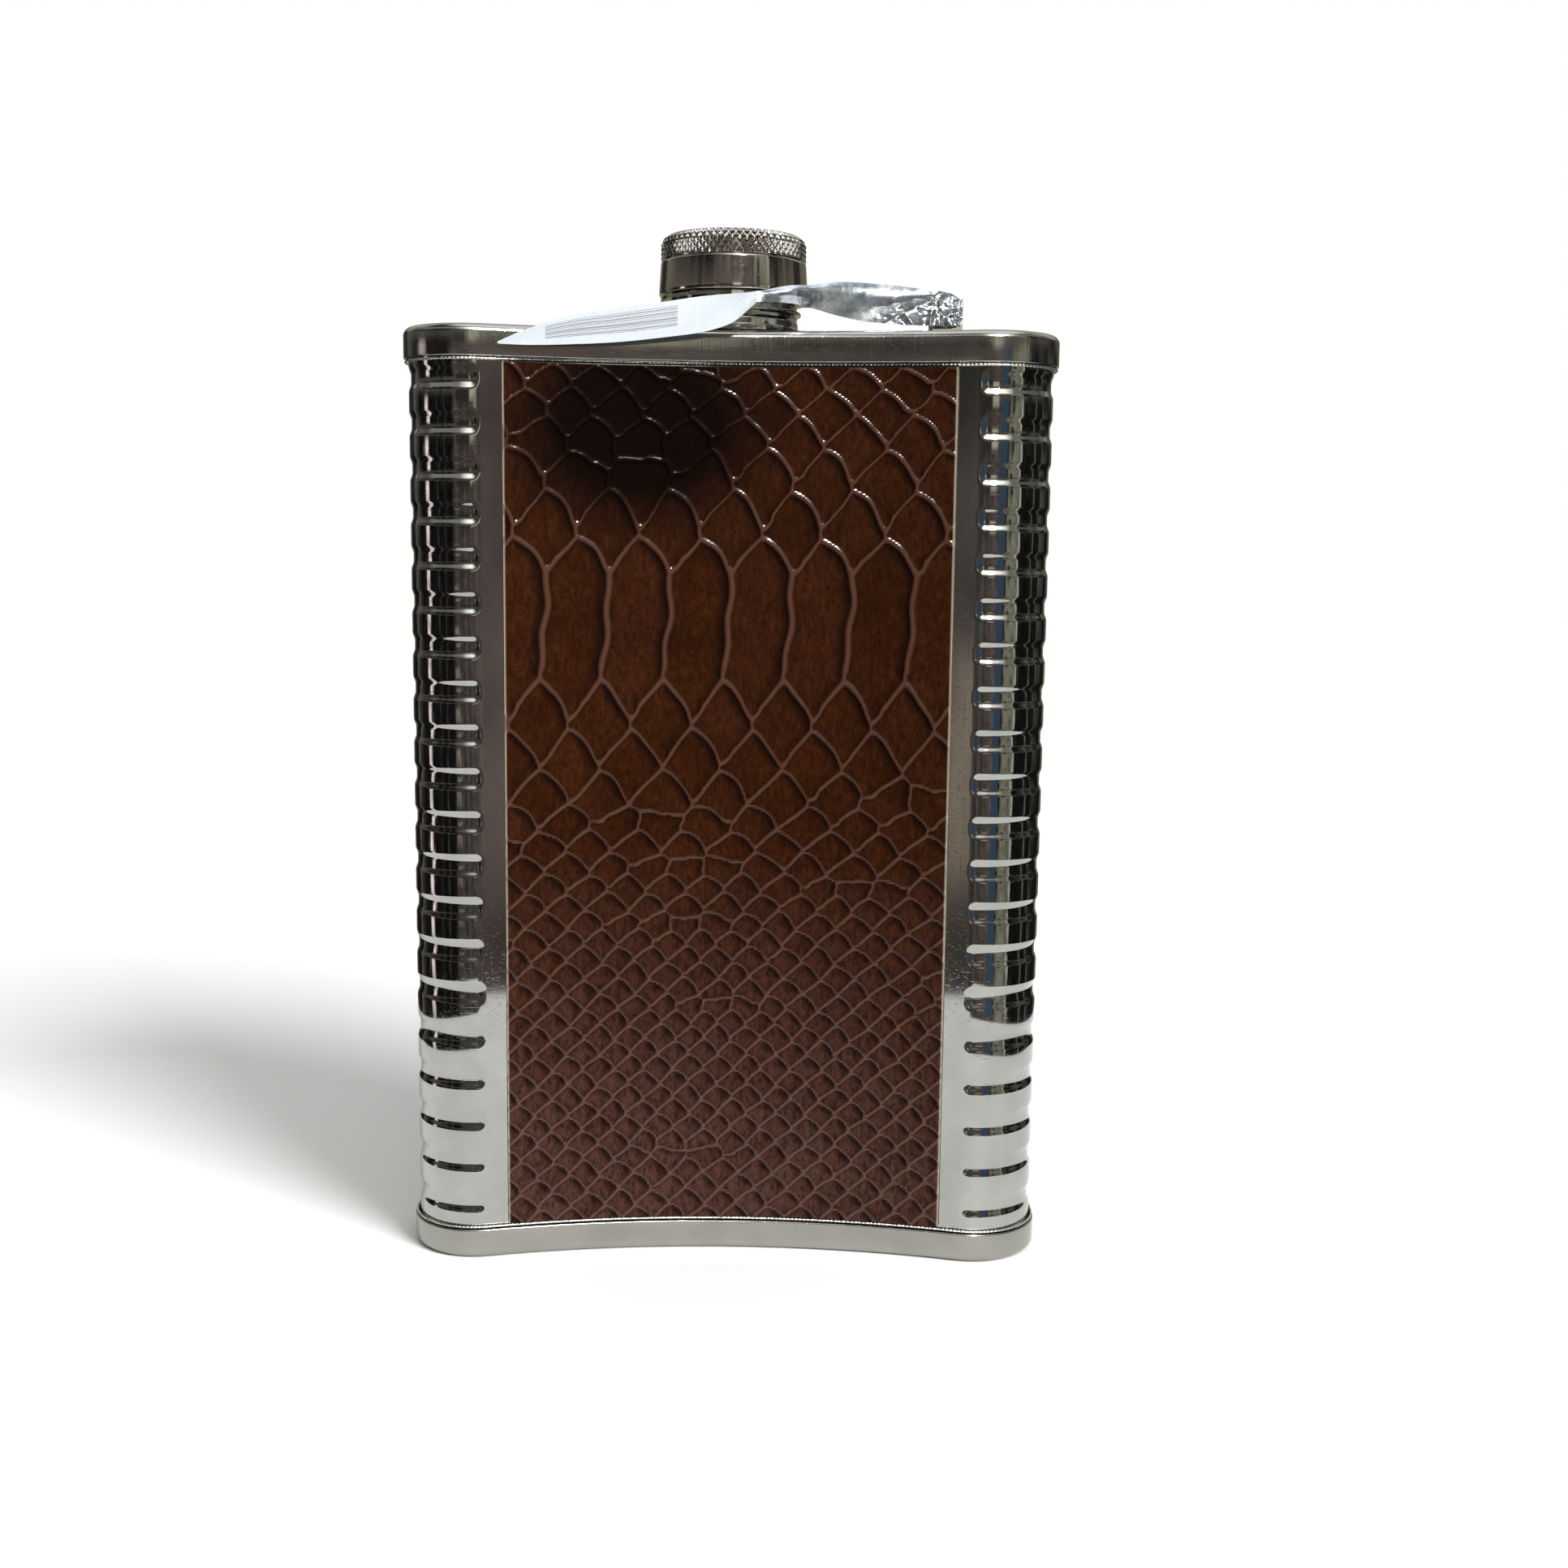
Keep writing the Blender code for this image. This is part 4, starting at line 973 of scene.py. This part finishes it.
HIGH_ROOM = [(-12, 6, 26, 9, 0.05, (0.050, 0.046, 0.038)), (7, 8, 14, 10, 0.04, (0.74, 0.71, 0.58)),
             (-52, 9, 5, 16, 0.03, DARK), (40, 9, 6, 16, 0.03, DARK), (72, 9, 9, 16, 0.03, DARK),
             (120, 9, 24, 16, 0.05, DARK), (-140, 9, 24, 16, 0.05, DARK),
             (-40, 42, 90, 26, 0.15, (0.40, 0.40, 0.38)), (66, 42, 60, 26, 0.15, (0.30, 0.30, 0.28)),
             (12, 43, 52, 30, 0.26, (3.0, 3.0, 2.9))]
CEILING = (1.35, 1.35, 1.40)  # wide softbox overhead
CEILING_AIM = (0.10, -0.06, 0.98)
CEILING_EDGE = 0.865  # cosine of its half angle


def make_world():
    """White behind the flask for the camera; a dim room for everything that mirrors or is lit."""
    world = bpy.data.worlds.new("studio")
    bpy.context.scene.world = world
    world.use_nodes = True
    nodes = Nodes(world.node_tree)
    nodes.tree.nodes.clear()
    direction = nodes.node("TexCoord").outputs["Generated"]

    def towards(axis):
        made = nodes.node("VectorMath", {"operation": 'DOT_PRODUCT'})
        nodes.feed(made.inputs[0], direction)
        nodes.feed(made.inputs[1], axis)
        return made.outputs["Value"]

    def window(value, half, soft):
        """1 within half of zero, fading over soft."""
        return nodes.times(nodes.minus(half, nodes.math('ABSOLUTE', value)), 1 / soft, clamp=True)

    def patch(azimuth, elevation, width, height, soft, colour, under):
        """Soft-edged rectangle of the room, azimuth from the front towards +X, all in degrees."""
        a, e = math.radians(azimuth), math.radians(elevation)
        ahead = Vector((math.sin(a) * math.cos(e), -math.cos(a) * math.cos(e), math.sin(e)))
        side = Vector((math.cos(a), math.sin(a), 0.0))
        over = ahead.cross(side) if ahead.cross(side).z > 0 else side.cross(ahead)
        mask = nodes.math('GREATER_THAN', towards(ahead), 0.0)
        for axis, span in ((side, width), (over, height)):
            inside = window(towards(axis), math.sin(math.radians(span / 2)), soft)
            mask = nodes.times(mask, inside)
        return nodes.mix(mask, under, colour)

    room = DIM
    for entry in LOW_ROOM:
        room = patch(*entry, room)
    noise = nodes.node("TexNoise", Vector=direction, Scale=9.0, Detail=3.0).outputs["Fac"]
    uneven = nodes.times(nodes.minus(noise, 0.5), CLUTTER)
    room = nodes.mix(1.0, room, nodes.math('ADD', uneven, 1.0), 'MULTIPLY')
    height = towards((0.0, 0.0, 1.0))
    above = nodes.times(nodes.minus(height, BAND_FOOT), 20.0, clamp=True)
    below = nodes.times(nodes.minus(BAND_TOP, height), 12.0, clamp=True)
    band = nodes.times(nodes.times(above, below), BAND_SHARE)
    room = nodes.mix(band, room, WALL_BAND)
    for entry in HIGH_ROOM:
        room = patch(*entry, room)
    overhead = nodes.minus(towards(Vector(CEILING_AIM).normalized()), CEILING_EDGE)
    room = nodes.mix(nodes.times(overhead, 14.0, clamp=True), room, CEILING)
    seen = nodes.node("Background", Color=(1.0, 1.0, 1.0))
    mirrored = nodes.node("Background", Color=room)
    pick = nodes.node("MixShader")
    camera_ray = nodes.node("LightPath").outputs["Is Camera Ray"]
    for socket, value in zip(pick.inputs, (camera_ray, mirrored.outputs[0], seen.outputs[0])):
        nodes.feed(socket, value)
    nodes.node("OutputWorld", Surface=pick.outputs[0])


MIRRORED_RADIUS = 0.165  # the floor that the steel mirrors
FLOOR_RADIUS = 3.0


def make_floor():
    """White table; only the disc around the flask is mirrored, as on a small table in a dim room."""
    white = Shader("pale_floor", (0.88, 0.88, 0.88), 0.6)
    white.set("Specular IOR Level", 0.1)
    for name, inner, outer in (("floor", 0.0, MIRRORED_RADIUS),
                               ("floor_beyond", MIRRORED_RADIUS, FLOOR_RADIUS)):
        bm = bmesh.new()
        rims = [bmesh.ops.create_circle(bm, segments=160, radius=r)["verts"] for r in (outer, inner) if r]
        if inner:
            edges = list({edge for rim in rims for vert in rim for edge in vert.link_edges})
            bmesh.ops.bridge_loops(bm, edges=edges)
        else:
            bm.faces.new(rims[0])
        mesh = mesh_from(name, bm)
        mesh.materials.append(white.mat)
        floor = link_object(name, mesh)
        floor.location = (0.0, 0.0, BASE_LOW.z)
        floor.visible_glossy = not inner


def make_blue_card():
    """Dark blue upright card to the right of the camera, seen only in the right side's mirror."""
    blue = Shader("blue_card", (0.0, 0.0, 0.0), 1.0)
    blue.set("Emission Color", (0.06, 0.11, 0.18))
    blue.set("Emission Strength", 1.0)
    bm = bmesh.new()
    bmesh.ops.create_grid(bm, size=0.5)
    mesh = mesh_from("blue_card", bm)
    mesh.materials.append(blue.mat)
    card = link_object("blue_card", mesh)
    card.scale = (0.052, 0.18, 1.0)
    card.location = (0.131, -0.232, 0.068)
    card.rotation_euler = (math.radians(90), 0.0, math.radians(22))
    for ray in ("camera", "diffuse", "transmission", "volume_scatter", "shadow"):
        setattr(card, "visible_" + ray, False)


def add_light(name, kind, direction, **settings):
    """Lamp that shines along a direction."""
    data = bpy.data.lights.new(name, kind)
    for key, value in settings.items():
        setattr(data, key, value)
    light = link_object(name, data)
    light.rotation_mode = 'QUATERNION'
    light.rotation_quaternion = direction.to_track_quat('-Z', 'Y')
    return light


def make_lights():
    """A soft sun from the upper right lights the floor evenly; a small lamp gives the glints."""
    sun = add_light("key", 'SUN', Vector((-0.60, 0.58, -0.57)), energy=4.1, angle=math.radians(25))
    sun.visible_glossy = False
    place, aim = Vector((0.10, -0.47, 0.45)), Vector((0.0, 0.0, 0.08))
    glint = add_light("glint", 'AREA', aim - place, shape='RECTANGLE', size=0.05, size_y=0.05,
                      energy=7.2, color=(1.0, 0.97, 0.93))
    glint.location = place
    glint.visible_camera = False
    glint.visible_diffuse = False


# ---- assembly

def repaint(node, mat, soften=0.0):
    """Gives a CAD node that stays on show its finished material, and soft edges of a width."""
    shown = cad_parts[node]
    shown.data.materials.clear()
    shown.data.materials.append(mat)
    if soften:
        bevel = shown.modifiers.new("soft_edges", 'BEVEL')
        bevel.width = soften
        bevel.segments = 2
        bevel.limit_method = 'ANGLE'
        bevel.angle_limit = math.radians(50)


def main():
    bpy.context.scene.view_settings.view_transform = 'Standard'
    make_camera()
    make_world()
    make_floor()
    make_blue_card()
    make_lights()

    mirror = scratched_steel("mirror_steel", (0.41, 0.415, 0.39), 0.03, 0.0006, 0.0015)
    satin = scratched_steel("satin_steel_finish", (0.43, 0.43, 0.395), 0.11, 0.014, 0.003)
    worn = scratched_steel("worn_satin_steel", (0.335, 0.33, 0.30), 0.12, 0.010, 0.004)
    bright = scratched_steel("bright_steel", (0.62, 0.60, 0.56), 0.05, 0.001, 0.002)
    leather = leather_material()
    glue = plain_material("glue", (0.50, 0.42, 0.28), 0.5, 0.02)
    rubber = plain_material("rubber", (0.75, 0.74, 0.70), 0.6, 0.01)

    make_body(mirror)
    make_base_cover(worn)
    make_top_cover(satin)
    # The top weld's middle, between the leather's edges, is painted darker as painted shade.
    make_weld("weld_top", "top_weld_bead", weld_material("shaded_weld", 0.10), 3)
    make_weld("weld_base", "base_weld_bead", weld_material("bright_weld", 1.0), 5)
    make_leather("leather_panel_front", "leather_front", -1, leather, FRONT_SEED, LEATHER_STEP)
    make_leather("leather_panel_back", "leather_back", 1, leather, BACK_SEED, 1.3 * LEATHER_STEP)
    make_neck_collar(bright)
    make_retainer(bright)
    make_cap(bright)
    make_strip("paper_label", "price_tag", LABEL, paper_material(), "label_paper",
               90, 24, 0.16, label_crease)
    make_strip("film_tail", "tag_tail", TAIL, film_material(), "clear_film",
               260, 64, 0.12, film_crease)
    for node, soften in (("neck_spout", 0.0), ("cap_thread_liner", 0.0), ("hinge_arm", 0.1 * MM),
                         ("hinge_bracket", 0.12 * MM), ("hinge_pin", 0.1 * MM)):
        repaint(node, bright, soften)
    for node in ("adhesive_front", "adhesive_back"):
        repaint(node, glue)
    repaint("cap_gasket", rubber)


main()
